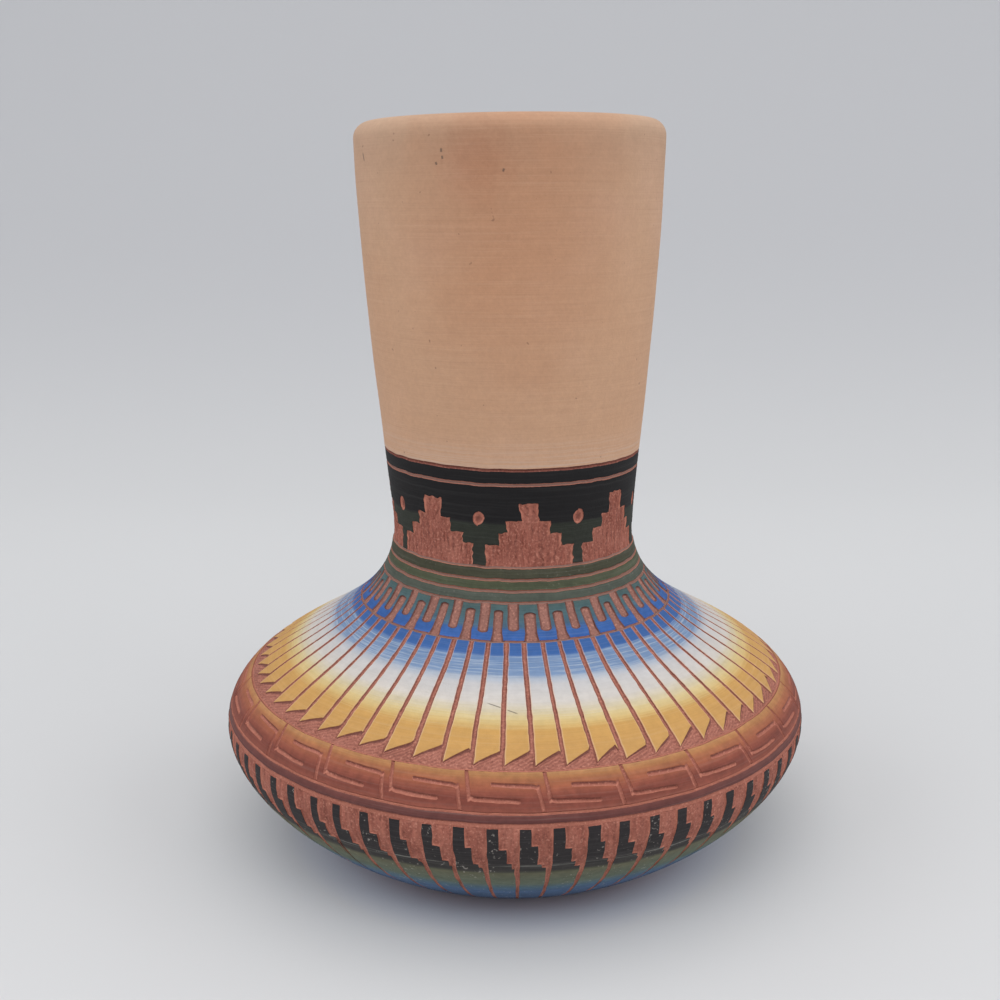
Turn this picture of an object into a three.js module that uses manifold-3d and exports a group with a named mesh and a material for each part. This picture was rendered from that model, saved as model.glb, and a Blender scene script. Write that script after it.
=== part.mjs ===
// Etched pottery vase: a hollow clay body with a wide belly, a narrow waist and a tall flared neck.
// Bands of coloured slip lie on the clay, parted by etched lines that show the red ground between them.
// Millimetres, +Z up, origin at the middle of the flat foot. Angle 0 faces -Y and grows towards +X.
// A place on the vase is an angle about the axis, an arc length up the outline from the foot,
// and a height above the finished surface.

import * as THREE from 'three';
import { mergeVertices } from 'three/addons/utils/BufferGeometryUtils.js';
import Module from 'manifold-3d';

// Overall form
const vaseHeight = 152.4;
const footRadius = 36;
const bellyRadius = 63.1;
const bellyHeight = 28;
const waistRadius = 25.9;
const waistHeight = 69;
const rimRadius = 31.5;

// Fullness of the curves: how far each handle reaches along the outline
const footSlope = THREE.MathUtils.degToRad(21);
const footFullness = 9.5;
const underBellyFullness = 10.9;
const shoulderFullness = 17.6;
const underWaistFullness = 23;
const overWaistFullness = 10.9;
const neckFullness = 37.2;
const rimLean = THREE.MathUtils.degToRad(1.25);

// Clay wall, floor and lip
const wallThickness = 5;
const floorThickness = 6;
const floorRounding = 2;
const outerLipRadius = 3.2;
const innerLipRadius = wallThickness - outerLipRadius;
const slipInsideMouth = 5;

// Slip coats and what the etching takes away
const coatThickness = 0.6;
const seatGap = 0.3;
const grooveDepth = 0.4;
const ringLine = 0.6;
const footMargin = 6;

// Neck: black collar ring over the black band with stepped terraces and dots
const collarHeight = 2.6;
const terraceBandHeight = 16.3;
const terraceBaseBelowWaist = 2.5;
const terraceCount = 8;
const terracePhase = 7.6;
const terraceTiers = [
  { width: 18.0, top: 4.1 },
  { width: 13.2, top: 6.6 },
  { width: 8.4, top: 9.3 },
  { width: 4.2, top: 13.0 },
];
const dotWidth = 2.6;
const dotHeight = 3.2;
const dotRise = 9.6;

// Three green rings under the neck, and the meander below them
const upperGreenHeight = 1.9;
const middleGreenHeight = 1.6;
const lowerGreenHeight = 1.7;
const fretHeight = 7.5;
const fretCount = 32;
const fretPhase = -5.4;
const fretSlotWidth = 1.9;
const fretTopBar = 1.1;
const fretBottomBar = 1.9;

// Feather fan on the shoulder
const featherCount = 63;
const featherPhase = -2.4;
const featherGroove = 0.9;
const featherTipCut = 2.5;
const featherTipGround = 1.5;

// Key band and maroon ring around the belly
const keyBandHeight = 7.1;
const maroonRingHeight = 1.4;
const panelGround = 1.1;

// Stepped panels under the belly
const panelTopAboveBelly = 1.6;
const panelCount = 66;
const panelPhase = 0.7;
const panelSteps = [
  { width: 2.2, drop: 4.4 },
  { width: 3.7, drop: 8.1 },
  { width: 4.7, drop: 9.8 },
];

// Fineness of the facets
const bellySides = 36;
const neckSides = 32;
const panelFacets = 4;
const featherFacets = 2;
const terraceFacets = 2;
const neckFacets = 3;
const lipFacets = 2;
const insideFacets = 3;
const dotSides = 8;
const nearestStation = 0.1;
const flatness = 0.002;
const turnAllowed = 0.002;
const cutterOverrun = 0.5;
const cutterReach = 3;
const through = coatThickness + cutterReach;

const wasm = await Module();
wasm.setup();

// Outline of the finished surface, from the foot over the lip and a little way down the inside
function finishedOutline() {
  const rimHeight = vaseHeight - outerLipRadius;
  const lipCentre = rimRadius - outerLipRadius;
  const path = new THREE.Path();
  path.moveTo(footRadius, 0);
  path.bezierCurveTo(
    footRadius + footFullness * Math.cos(footSlope), footFullness * Math.sin(footSlope),
    bellyRadius, bellyHeight - underBellyFullness,
    bellyRadius, bellyHeight,
  );
  path.bezierCurveTo(
    bellyRadius, bellyHeight + shoulderFullness,
    waistRadius, waistHeight - underWaistFullness,
    waistRadius, waistHeight,
  );
  path.bezierCurveTo(
    waistRadius, waistHeight + overWaistFullness,
    rimRadius - neckFullness * Math.sin(rimLean), rimHeight - neckFullness * Math.cos(rimLean),
    rimRadius, rimHeight,
  );
  path.absarc(lipCentre, rimHeight, outerLipRadius, 0, Math.PI / 2, false);
  path.absarc(lipCentre, vaseHeight - innerLipRadius, innerLipRadius, Math.PI / 2, Math.PI, false);
  path.lineTo(rimRadius - wallThickness, vaseHeight - innerLipRadius - slipInsideMouth);
  return path;
}

const outline = finishedOutline();
const outlineLength = outline.getLength();
const [bellyArc, waistArc, rimArc, lipArc] = outline.getCurveLengths();

// Bands stacked from the waist up to the neck
const terraceBase = waistArc - terraceBaseBelowWaist;
const terraceTop = terraceBase + terraceBandHeight;
const collarBase = terraceTop + ringLine;
const collarTop = collarBase + collarHeight;
const neckBase = collarTop + ringLine;

// Bands stacked from the waist down to the feathers
const upperGreenTop = terraceBase - ringLine;
const upperGreenBase = upperGreenTop - upperGreenHeight;
const middleGreenTop = upperGreenBase - ringLine;
const middleGreenBase = middleGreenTop - middleGreenHeight;
const lowerGreenTop = middleGreenBase - ringLine;
const lowerGreenBase = lowerGreenTop - lowerGreenHeight;
const fretTop = lowerGreenBase - ringLine;
const fretBase = fretTop - fretHeight;
const featherTop = fretBase - ringLine;

// Bands stacked from the belly up to the feather tips
const panelTop = bellyArc + panelTopAboveBelly;
const maroonBase = panelTop + panelGround;
const maroonTop = maroonBase + maroonRingHeight;
const keyBase = maroonTop + ringLine;
const keyTop = keyBase + keyBandHeight;
const featherBase = keyTop + featherTipGround;

// Arc lengths that part a stretch of the outline into equal steps, without its ends
function between(from, to, steps) {
  return Array.from({ length: steps - 1 }, (_, index) => from + ((index + 1) * (to - from)) / steps);
}

// The outline is faceted at the middle of each etched line, and in steps across the wide bands
const footLine = footMargin - ringLine / 2;
const panelLine = panelTop + panelGround / 2;
const featherLine = keyTop + featherTipGround / 2;
const fretLine = featherTop + ringLine / 2;
const terraceLine = upperGreenTop + ringLine / 2;
const collarLine = terraceTop + ringLine / 2;
const neckLine = collarTop + ringLine / 2;
const insideArc = outlineLength - slipInsideMouth;
const stationArcs = [
  0,
  footLine,
  ...between(footLine, panelLine, panelFacets),
  panelLine,
  maroonTop + ringLine / 2,
  featherLine,
  ...between(featherLine, fretLine, featherFacets),
  fretLine,
  fretTop + ringLine / 2,
  lowerGreenTop + ringLine / 2,
  middleGreenTop + ringLine / 2,
  terraceLine,
  ...between(terraceLine, collarLine, terraceFacets),
  collarLine,
  neckLine,
  ...between(neckLine, rimArc, neckFacets),
  rimArc,
  ...between(rimArc, lipArc, lipFacets),
  lipArc,
  ...between(lipArc, insideArc, lipFacets),
  insideArc,
  outlineLength,
];
const stations = stationArcs.map((arc) => {
  const point = outline.getPoint(arc / outlineLength);
  const tangent = outline.getTangent(arc / outlineLength);
  return { arc, point, normal: new THREE.Vector2(tangent.y, -tangent.x) };
});

// Radius and height of the place at an arc length, lifted off the finished surface
function surface(arc, lift) {
  const last = stations.length - 2;
  const found = stations.findIndex((station) => station.arc > arc) - 1;
  const lower = stations[found < 0 ? last : found];
  const upper = stations[stations.indexOf(lower) + 1];
  const share = (arc - lower.arc) / (upper.arc - lower.arc);
  const from = lower.point.clone().addScaledVector(lower.normal, lift);
  const to = upper.point.clone().addScaledVector(upper.normal, lift);
  return from.lerp(to, share);
}

// The ends of a stretch of the outline, with every station between them
function levels(from, to) {
  const inner = stationArcs.filter((arc) => arc > from + nearestStation && arc < to - nearestStation);
  return [from, ...inner, to];
}

// Angle that a width takes up at an arc length
function widthAngle(width, arc) {
  return width / surface(arc, 0).x;
}

function solidOf(geometry) {
  const bare = geometry.clone();
  bare.deleteAttribute('normal');
  bare.deleteAttribute('uv');
  const merged = mergeVertices(bare);
  return new wasm.Manifold(new wasm.Mesh({
    numProp: 3,
    vertProperties: new Float32Array(merged.attributes.position.array),
    triVerts: new Uint32Array(merged.index.array),
  }));
}

// A closed profile turned about the axis
function turned(profile, sides, start = 0) {
  const closed = [...profile];
  if (profile[0].x > 0) {
    closed.push(profile[0].clone());
  }
  const geometry = new THREE.LatheGeometry(closed, sides);
  geometry.rotateX(Math.PI / 2);
  geometry.rotateZ(start);
  return solidOf(geometry);
}

// A ring of slip between two arc lengths, with its facets counted from the start angle
function coat(from, to, sides, start = 0) {
  const arcs = levels(from, to);
  const outside = arcs.map((arc) => surface(arc, 0));
  const inside = arcs.map((arc) => surface(arc, -coatThickness)).reverse();
  return turned([...outside, ...inside], sides, THREE.MathUtils.degToRad(start));
}

// A geometry drawn flat, with x as angle, y as arc length and z as lift, laid onto the vase
function laidOn(geometry) {
  const position = geometry.attributes.position;
  for (let index = 0; index < position.count; index += 1) {
    const angle = position.getX(index);
    const place = surface(position.getY(index), position.getZ(index));
    position.setXYZ(index, place.x * Math.sin(angle), -place.x * Math.cos(angle), place.y);
  }
  return solidOf(geometry);
}

// A groove cutter between two angles, whose floor follows the outline at an even depth
function groove(angle, width, from, to, depth) {
  const arcs = levels(from, to);
  const rows = arcs.length - 1;
  const geometry = new THREE.BoxGeometry(width, rows, 1, 1, rows, 1);
  const position = geometry.attributes.position;
  for (let index = 0; index < position.count; index += 1) {
    const row = Math.round(position.getY(index) + rows / 2);
    const lift = position.getZ(index) > 0 ? cutterOverrun : -depth;
    position.setXYZ(index, angle + position.getX(index), arcs[row], lift);
  }
  return laidOn(geometry);
}

// A cutter with the outline of a motif, drawn as corners of angle and arc length
function stencil(corners, depth) {
  const shape = new THREE.Shape(corners.map(([angle, arc]) => new THREE.Vector2(angle, arc)));
  const geometry = new THREE.ExtrudeGeometry(shape, { depth: depth + cutterReach, bevelEnabled: false });
  geometry.translate(0, 0, -depth);
  return laidOn(geometry);
}

// The same for a motif with four square corners
function slot(left, right, from, to, depth) {
  return stencil([[left, from], [right, from], [right, to], [left, to]], depth);
}

// An oval motif
function oval(angle, arc, width, height, depth) {
  const corners = Array.from({ length: dotSides }, (_, index) => {
    const turn = (index * 2 * Math.PI) / dotSides;
    return [
      angle + (widthAngle(width, arc) / 2) * Math.cos(turn),
      arc + (height / 2) * Math.sin(turn),
    ];
  });
  return stencil(corners, depth);
}

function etched(solid, cutters) {
  return cutters.reduce((left, cutter) => left.subtract(cutter), solid);
}

// The angles of a motif that repeats around the vase
function around(count, phase) {
  const first = THREE.MathUtils.degToRad(phase);
  return Array.from({ length: count }, (_, index) => first + (index * 2 * Math.PI) / count);
}

// The inside follows the outside at an even wall, with fewer facets
const insideArcs = [
  ...between(footLine, bellyArc, insideFacets),
  bellyArc,
  featherLine,
  ...between(featherLine, fretLine, featherFacets),
  fretLine,
  terraceLine,
  collarLine,
  ...between(neckLine, rimArc, neckFacets),
];

// Hollow body: its outside lies below the coats, and its foot and mouth come up to the finished surface
function clayBody() {
  const ground = -(coatThickness + seatGap);
  const foot = [new THREE.Vector2(0, 0), surface(0, 0), surface(footMargin - ringLine, 0)];
  const outside = levels(footMargin - ringLine, outlineLength).map((arc) => surface(arc, ground));
  const inside = [...insideArcs].reverse()
    .map((arc) => surface(arc, -wallThickness))
    .filter((point) => point.y > floorThickness + floorRounding / 2);
  const mouth = new THREE.Vector2(rimRadius - wallThickness, outside.at(-1).y - ringLine);
  const floor = [
    new THREE.Vector2(footRadius - floorRounding, floorThickness),
    new THREE.Vector2(0, floorThickness),
  ];
  return turned([...foot, ...outside, mouth, ...inside, ...floor], bellySides);
}

function neckSlip() {
  return coat(neckBase, outlineLength - ringLine, neckSides);
}

// Black band with a row of stepped terraces cut out of its lower edge and an oval dot between each two
function terraceBand() {
  const halfStep = Math.PI / terraceCount;
  const cutters = around(terraceCount, terracePhase).flatMap((angle) => {
    const rightSide = terraceTiers.flatMap((tier, index) => {
      const half = widthAngle(tier.width, waistArc) / 2;
      const bottom = index === 0 ? -cutterOverrun : terraceTiers[index - 1].top;
      return [[angle + half, terraceBase + bottom], [angle + half, terraceBase + tier.top]];
    });
    const leftSide = rightSide.map(([side, arc]) => [2 * angle - side, arc]).reverse();
    return [
      stencil([...rightSide, ...leftSide], through),
      oval(angle + halfStep, terraceBase + dotRise, dotWidth, dotHeight, through),
    ];
  });
  return etched(coat(terraceBase, terraceTop, neckSides, terracePhase), cutters);
}

// One unbroken meander, left between slots cut from above and from below by turns.
// The edges of its facets run through the walls between the slots.
function fretRibbon() {
  const halfSlot = widthAngle(fretSlotWidth, (fretBase + fretTop) / 2) / 2;
  const halfStep = Math.PI / fretCount;
  const quarterStep = THREE.MathUtils.radToDeg(halfStep) / 2;
  const cutters = around(fretCount, fretPhase).flatMap((angle) => {
    const fromAbove = angle + halfStep;
    const lowEnd = fretBase - cutterOverrun;
    const highEnd = fretTop + cutterOverrun;
    return [
      slot(angle - halfSlot, angle + halfSlot, lowEnd, fretTop - fretTopBar, through),
      slot(fromAbove - halfSlot, fromAbove + halfSlot, fretBase + fretBottomBar, highEnd, through),
    ];
  });
  return etched(coat(fretBase, fretTop, fretCount, fretPhase - quarterStep), cutters);
}

// Fan of feathers carved side by side, each tip cut on a slant that falls to the left.
// The thin skin of clay under the grooves stays, so the fan is one piece.
function featherFan() {
  const step = (2 * Math.PI) / featherCount;
  const width = widthAngle(featherGroove, (featherBase + featherTop) / 2);
  const overlap = width / 4;
  const low = featherBase - cutterOverrun;
  const cutters = around(featherCount, featherPhase).flatMap((angle) => [
    groove(angle, width, low, featherTop + cutterOverrun, grooveDepth),
    stencil([
      [angle - step - overlap, low],
      [angle + overlap, low],
      [angle + overlap, featherBase + featherTipCut],
    ], through),
  ]);
  return etched(coat(featherBase, featherTop, featherCount, featherPhase), cutters);
}

// Band of black stepped columns that stand on a ring.
// The edges of its facets run through the ground between the columns.
function steppedPanels() {
  const step = (2 * Math.PI) / panelCount;
  const cutters = around(panelCount, panelPhase).map((angle) => {
    const right = angle + step;
    const top = panelTop + cutterOverrun;
    const lowest = panelTop - panelSteps.at(-1).drop;
    const stairs = panelSteps.flatMap(({ width, drop }, index) => {
      const left = angle + widthAngle(width, bellyArc);
      const above = index === 0 ? top : panelTop - panelSteps[index - 1].drop;
      return [[left, above], [left, panelTop - drop]];
    });
    return stencil([...stairs, [right, lowest], [right, top]], through);
  });
  const ground = step - widthAngle(panelSteps.at(-1).width, bellyArc);
  const start = panelPhase - THREE.MathUtils.radToDeg(ground) / 2;
  return etched(coat(footMargin, panelTop, panelCount, start), cutters);
}

// Cutting leaves spare corners inside flat faces and along straight edges.
// Each one is drawn into a neighbour that lies in the planes of all its faces.
function withoutSpareCorners(points, faces) {
  const touching = points.map(() => new Set());
  faces.forEach((face) => face.forEach((corner) => touching[corner].add(face)));

  const neighbours = (corner) => new Set([...touching[corner]].flat().filter((other) => other !== corner));
  const planeOf = (face) => new THREE.Plane().setFromCoplanarPoints(...face.map((corner) => points[corner]));

  const canMove = (corner, target) => {
    const besideTarget = neighbours(target);
    const common = [...neighbours(corner)].filter((other) => besideTarget.has(other));
    return common.length === 2 && [...touching[corner]].every((face) => {
      if (face.includes(target)) {
        return true;
      }
      const plane = planeOf(face);
      const moved = planeOf(face.map((other) => (other === corner ? target : other)));
      return Math.abs(plane.distanceToPoint(points[target])) < flatness
        && plane.normal.dot(moved.normal) > 1 - turnAllowed;
    });
  };

  const move = (corner, target) => {
    touching[corner].forEach((face) => {
      if (face.includes(target)) {
        face.forEach((other) => touching[other].delete(face));
      } else {
        face[face.indexOf(corner)] = target;
        touching[target].add(face);
      }
    });
    touching[corner].clear();
  };

  points.forEach((point, corner) => {
    const nearest = [...neighbours(corner)].sort((one, other) => (
      point.distanceToSquared(points[one]) - point.distanceToSquared(points[other])
    ));
    const target = nearest.find((candidate) => canMove(corner, candidate));
    if (target !== undefined) {
      move(corner, target);
    }
  });
  return [...new Set(touching.flatMap((kept) => [...kept]))];
}

function meshOf(name, solid, color, roughness) {
  const cut = solid.getMesh();
  const position = new THREE.BufferAttribute(new Float32Array(cut.vertProperties), 3);
  const points = Array.from({ length: position.count }, (_, index) => (
    new THREE.Vector3().fromBufferAttribute(position, index)
  ));
  const corners = Array.from(cut.triVerts);
  const faces = Array.from({ length: corners.length / 3 }, (_, index) => (
    corners.slice(3 * index, 3 * index + 3)
  ));
  const geometry = new THREE.BufferGeometry();
  geometry.setAttribute('position', position);
  geometry.setIndex(withoutSpareCorners(points, faces).flat());
  geometry.computeVertexNormals();
  const material = new THREE.MeshStandardMaterial({ color, roughness, metalness: 0, flatShading: true });
  const mesh = new THREE.Mesh(geometry, material);
  mesh.name = name;
  return mesh;
}

const vase = new THREE.Group();
vase.name = 'etched_vase';
vase.add(
  meshOf('clay_body', clayBody(), 0xaa6450, 0.9),
  meshOf('neck_slip', neckSlip(), 0xc9a184, 0.75),
  meshOf('black_collar_ring', coat(collarBase, collarTop, neckSides), 0x242225, 0.7),
  meshOf('terrace_band', terraceBand(), 0x2a2c2a, 0.7),
  meshOf('upper_green_ring', coat(upperGreenBase, upperGreenTop, neckSides), 0x4a5640, 0.7),
  meshOf('middle_green_ring', coat(middleGreenBase, middleGreenTop, neckSides), 0x4c5e44, 0.7),
  meshOf('lower_green_ring', coat(lowerGreenBase, lowerGreenTop, neckSides), 0x4c6058, 0.7),
  meshOf('fret_ribbon', fretRibbon(), 0x4672a4, 0.7),
  meshOf('feather_fan', featherFan(), 0xd2a864, 0.7),
  meshOf('key_band', coat(keyBase, keyTop, bellySides), 0xa06048, 0.75),
  meshOf('maroon_ring', coat(maroonBase, maroonTop, bellySides), 0x643c3a, 0.75),
  meshOf('stepped_panels', steppedPanels(), 0x2e302c, 0.7),
);

export default vase;
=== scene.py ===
import math

import bpy
import numpy as np
from mathutils import Matrix, Vector


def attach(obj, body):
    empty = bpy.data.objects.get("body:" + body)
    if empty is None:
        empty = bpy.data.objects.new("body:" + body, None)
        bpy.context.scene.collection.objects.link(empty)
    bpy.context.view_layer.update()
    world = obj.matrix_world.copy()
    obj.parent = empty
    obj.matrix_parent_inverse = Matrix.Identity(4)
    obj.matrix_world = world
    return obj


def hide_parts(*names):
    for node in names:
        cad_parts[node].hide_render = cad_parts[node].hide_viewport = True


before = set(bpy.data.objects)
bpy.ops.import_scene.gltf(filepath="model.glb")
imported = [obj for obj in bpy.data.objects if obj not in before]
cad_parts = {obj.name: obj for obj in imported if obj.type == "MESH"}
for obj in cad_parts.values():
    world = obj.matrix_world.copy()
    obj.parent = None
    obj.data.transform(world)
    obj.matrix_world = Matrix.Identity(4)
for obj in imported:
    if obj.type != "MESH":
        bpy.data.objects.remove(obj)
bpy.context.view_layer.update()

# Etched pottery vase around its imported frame.
# A place on the vase is an angle about the axis in degrees, with 0 towards the camera and growing
# to the right in the picture, an arc length in millimetres up the outline from the foot,
# and a lift in millimetres off the finished surface.

MM = 0.001

# Overall form, in millimetres
VASE_HEIGHT = 152.4
FOOT_RADIUS = 36.0
BELLY_RADIUS = 63.1
BELLY_HEIGHT = 28.0
WAIST_RADIUS = 25.9
WAIST_HEIGHT = 69.0
RIM_RADIUS = 31.5
FOOT_SLOPE = math.radians(21)
FOOT_FULLNESS = 9.5
UNDER_BELLY_FULLNESS = 10.9
SHOULDER_FULLNESS = 17.6
UNDER_WAIST_FULLNESS = 23.0
OVER_WAIST_FULLNESS = 10.9
NECK_FULLNESS = 37.2
RIM_LEAN = math.radians(1.25)
WALL = 5.0
FLOOR = 6.0
OUTER_LIP = 3.2
INNER_LIP = WALL - OUTER_LIP
SLIP_INSIDE_MOUTH = 5.0

# Slip coats and what the blade takes away
COAT = 0.7
SEAT = 0.85
CUT_DEPTH = 0.25
CUT_SLOPE = 0.16
LINE = 0.6
LINE_GAP = 0.02
LINE_DEPTH = 0.27
FOOT_MARGIN = 6.0
PANEL_BASE = FOOT_MARGIN + LINE / 2

# Heights of the bands
COLLAR_HEIGHT = 2.6
TERRACE_BAND_HEIGHT = 16.3
TERRACE_BASE_BELOW_WAIST = 2.5
UPPER_GREEN_HEIGHT = 1.9
MIDDLE_GREEN_HEIGHT = 1.6
LOWER_GREEN_HEIGHT = 1.7
FRET_HEIGHT = 7.5
KEY_BAND_HEIGHT = 7.1
MAROON_RING_HEIGHT = 1.4
PANEL_GROUND = 1.1
PANEL_TOP_ABOVE_BELLY = 1.6


def bezier(start, start_handle, end_handle, end, count=400):
    share = np.linspace(0, 1, count)[:, None]
    rest = 1 - share
    start, start_handle, end_handle, end = map(np.array, (start, start_handle, end_handle, end))
    return (rest**3 * start + 3 * rest**2 * share * start_handle
            + 3 * rest * share**2 * end_handle + share**3 * end)


def quarter(centre, radius, from_degrees, to_degrees, count=60):
    turn = np.radians(np.linspace(from_degrees, to_degrees, count))
    return np.array(centre) + radius * np.stack((np.cos(turn), np.sin(turn)), axis=-1)


def finished_outline():
    """Radius and height of the finished surface, from the foot over the lip and a little way inside."""
    rim_height = VASE_HEIGHT - OUTER_LIP
    lip_centre = RIM_RADIUS - OUTER_LIP
    under_belly = bezier(
        (FOOT_RADIUS, 0),
        (FOOT_RADIUS + FOOT_FULLNESS * math.cos(FOOT_SLOPE), FOOT_FULLNESS * math.sin(FOOT_SLOPE)),
        (BELLY_RADIUS, BELLY_HEIGHT - UNDER_BELLY_FULLNESS),
        (BELLY_RADIUS, BELLY_HEIGHT),
    )
    shoulder = bezier(
        (BELLY_RADIUS, BELLY_HEIGHT),
        (BELLY_RADIUS, BELLY_HEIGHT + SHOULDER_FULLNESS),
        (WAIST_RADIUS, WAIST_HEIGHT - UNDER_WAIST_FULLNESS),
        (WAIST_RADIUS, WAIST_HEIGHT),
    )
    neck = bezier(
        (WAIST_RADIUS, WAIST_HEIGHT),
        (WAIST_RADIUS, WAIST_HEIGHT + OVER_WAIST_FULLNESS),
        (RIM_RADIUS - NECK_FULLNESS * math.sin(RIM_LEAN), rim_height - NECK_FULLNESS * math.cos(RIM_LEAN)),
        (RIM_RADIUS, rim_height),
    )
    outer_lip = quarter((lip_centre, rim_height), OUTER_LIP, 0, 90)
    inner_lip = quarter((lip_centre, VASE_HEIGHT - INNER_LIP), INNER_LIP, 90, 180)
    inside = np.array([(RIM_RADIUS - WALL, VASE_HEIGHT - INNER_LIP - SLIP_INSIDE_MOUTH)])
    parts = [under_belly, shoulder[1:], neck[1:], outer_lip[1:], inner_lip[1:], inside]
    return np.concatenate(parts), np.cumsum([len(part) for part in parts])


OUTLINE, PART_ENDS = finished_outline()
STEPS = np.diff(OUTLINE, axis=0)
ARC = np.concatenate(([0], np.cumsum(np.hypot(STEPS[:, 0], STEPS[:, 1]))))
TANGENT = np.gradient(OUTLINE, axis=0)
TANGENT /= np.hypot(TANGENT[:, 0], TANGENT[:, 1])[:, None]
BELLY_ARC, WAIST_ARC, RIM_ARC, LIP_ARC, INSIDE_ARC, END_ARC = ARC[PART_ENDS - 1]
NECK_TOP = END_ARC - 1

# Bands stacked from the waist up to the neck
TERRACE_BASE = WAIST_ARC - TERRACE_BASE_BELOW_WAIST
TERRACE_TOP = TERRACE_BASE + TERRACE_BAND_HEIGHT
COLLAR_BASE = TERRACE_TOP + LINE
COLLAR_TOP = COLLAR_BASE + COLLAR_HEIGHT
NECK_BASE = COLLAR_TOP + LINE

# Bands stacked from the waist down to the feathers
UPPER_GREEN_TOP = TERRACE_BASE - LINE
UPPER_GREEN_BASE = UPPER_GREEN_TOP - UPPER_GREEN_HEIGHT
MIDDLE_GREEN_TOP = UPPER_GREEN_BASE - LINE
MIDDLE_GREEN_BASE = MIDDLE_GREEN_TOP - MIDDLE_GREEN_HEIGHT
LOWER_GREEN_TOP = MIDDLE_GREEN_BASE - LINE
LOWER_GREEN_BASE = LOWER_GREEN_TOP - LOWER_GREEN_HEIGHT
FRET_TOP = LOWER_GREEN_BASE - LINE
FRET_BASE = FRET_TOP - FRET_HEIGHT
FEATHER_TOP = FRET_BASE - LINE

# Bands stacked from the belly up to the feathers
PANEL_TOP = BELLY_ARC + PANEL_TOP_ABOVE_BELLY
MAROON_BASE = PANEL_TOP + PANEL_GROUND
MAROON_TOP = MAROON_BASE + MAROON_RING_HEIGHT
KEY_BASE = MAROON_TOP + LINE
KEY_TOP = KEY_BASE + KEY_BAND_HEIGHT
FEATHER_BASE = KEY_TOP + LINE


def radius_at(arc):
    return np.interp(arc, ARC, OUTLINE[:, 0])


def degree_at(arc):
    """The length of one degree round the vase, in millimetres."""
    return radius_at(arc) * math.pi / 180


def degrees_of(width, arc):
    """The angle that a width in millimetres takes up at an arc length."""
    return np.degrees(width / radius_at(arc))


def place(angle, arc, lift):
    radius = radius_at(arc) + lift * np.interp(arc, ARC, TANGENT[:, 1])
    height = np.interp(arc, ARC, OUTLINE[:, 1]) - lift * np.interp(arc, ARC, TANGENT[:, 0])
    turn = np.radians(angle)
    return np.stack((radius * np.sin(turn), -radius * np.cos(turn), height), axis=-1) * MM


# Unevenness of hand work: sums of waves that close on themselves round the vase
WAVE_COUNT = 12
WAVE_SPREAD = (0.6, 1.7)
MEAN_RADIUS = 40.0


def uneven(seed, length_around, length_along):
    """A smooth random field of about unit height, with waves of these lengths in millimetres."""
    rng = np.random.default_rng(seed)
    sizes = rng.uniform(*WAVE_SPREAD, (2, WAVE_COUNT))
    around = np.round(2 * math.pi * MEAN_RADIUS / (length_around * sizes[0]))
    along = 2 * math.pi / (length_along * sizes[1]) * rng.choice((-1, 1), WAVE_COUNT)
    phases = rng.uniform(0, 2 * math.pi, WAVE_COUNT)

    def field(angle, arc):
        turn = np.radians(angle)
        total = np.zeros(np.broadcast(turn, arc).shape)
        for count, pace, phase in zip(around, along, phases):
            total += np.sin(count * turn + pace * arc + phase)
        return total / math.sqrt(WAVE_COUNT / 2)

    return field


def summed(fields, angle, arc):
    """The sum of some fields, each times its own height."""
    return sum(height * field(angle, arc) for field, height in fields)


# Drift of the hand in millimetres, on the decorated part and not at the foot or high on the neck
RISE_DRIFT = ((uneven(1, 70, 60), 0.07), (uneven(2, 9, 14), 0.03), (uneven(5, 2.4, 3.0), 0.012))
SIDE_DRIFT = ((uneven(3, 14, 18), 0.03), (uneven(4, 2.2, 2.6), 0.017))
DRIFT_ARCS = (8, 28, 125, 165)
DRIFT_SHARES = (0, 1, 1, 0)

# The bands lie a little higher on the left of the picture than on the right
TILT_ARCS = (8, 40, 46, 82, 117, 165)
TILTS = (0, 0.33, 0.5, 0.5, 0.45, 0)

# Round the belly they lie a little lower than planned
SAG_ARCS = (34, 41, 53, 58)
SAGS = (0, 0.2, 0.25, 0)


def wander(angle, arc):
    """How far the hand drifted here, sideways and up, in millimetres."""
    share = np.interp(arc, DRIFT_ARCS, DRIFT_SHARES)
    tilt = np.interp(arc, TILT_ARCS, TILTS) * np.sin(np.radians(angle))
    rise = summed(RISE_DRIFT, angle, arc) * share - tilt - np.interp(arc, SAG_ARCS, SAGS)
    return summed(SIDE_DRIFT, angle, arc) * share, rise


def filled(marks, gap):
    """The marks in order, with even steps of no more than the gap between them."""
    marks = np.unique(np.round(marks, 4))
    parts = [
        np.linspace(low, high, max(1, math.ceil((high - low) / gap)), endpoint=False)
        for low, high in zip(marks[:-1], marks[1:])
    ]
    return np.concatenate(parts + [marks[-1:]])


SHARP_ANGLE = math.radians(38)
BACK_ROWS = 9


def mesh_object(name, points, faces, **fields):
    mesh = bpy.data.meshes.new(name)
    mesh.from_pydata(points.reshape(-1, 3), [], faces)
    mesh.shade_smooth()
    mesh.set_sharp_from_angle(angle=SHARP_ANGLE)
    for key, values in fields.items():
        layer = mesh.attributes.new(key, "FLOAT", "POINT")
        layer.data.foreach_set("value", np.ascontiguousarray(values, dtype=np.float32).ravel())
    obj = bpy.data.objects.new(name, mesh)
    bpy.context.scene.collection.objects.link(obj)
    return obj


def ring_quads(columns, rows, closed):
    """Faces of a grid that runs round the axis. Closed joins its last row to the first as well."""
    index = np.arange(columns * rows).reshape(columns, rows)
    beside = np.roll(index, -1, axis=0)
    quads = np.stack((index, beside, np.roll(beside, -1, axis=1), np.roll(index, -1, axis=1)), axis=-1)
    return (quads if closed else quads[:, :-1]).reshape(-1, 4)


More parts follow.
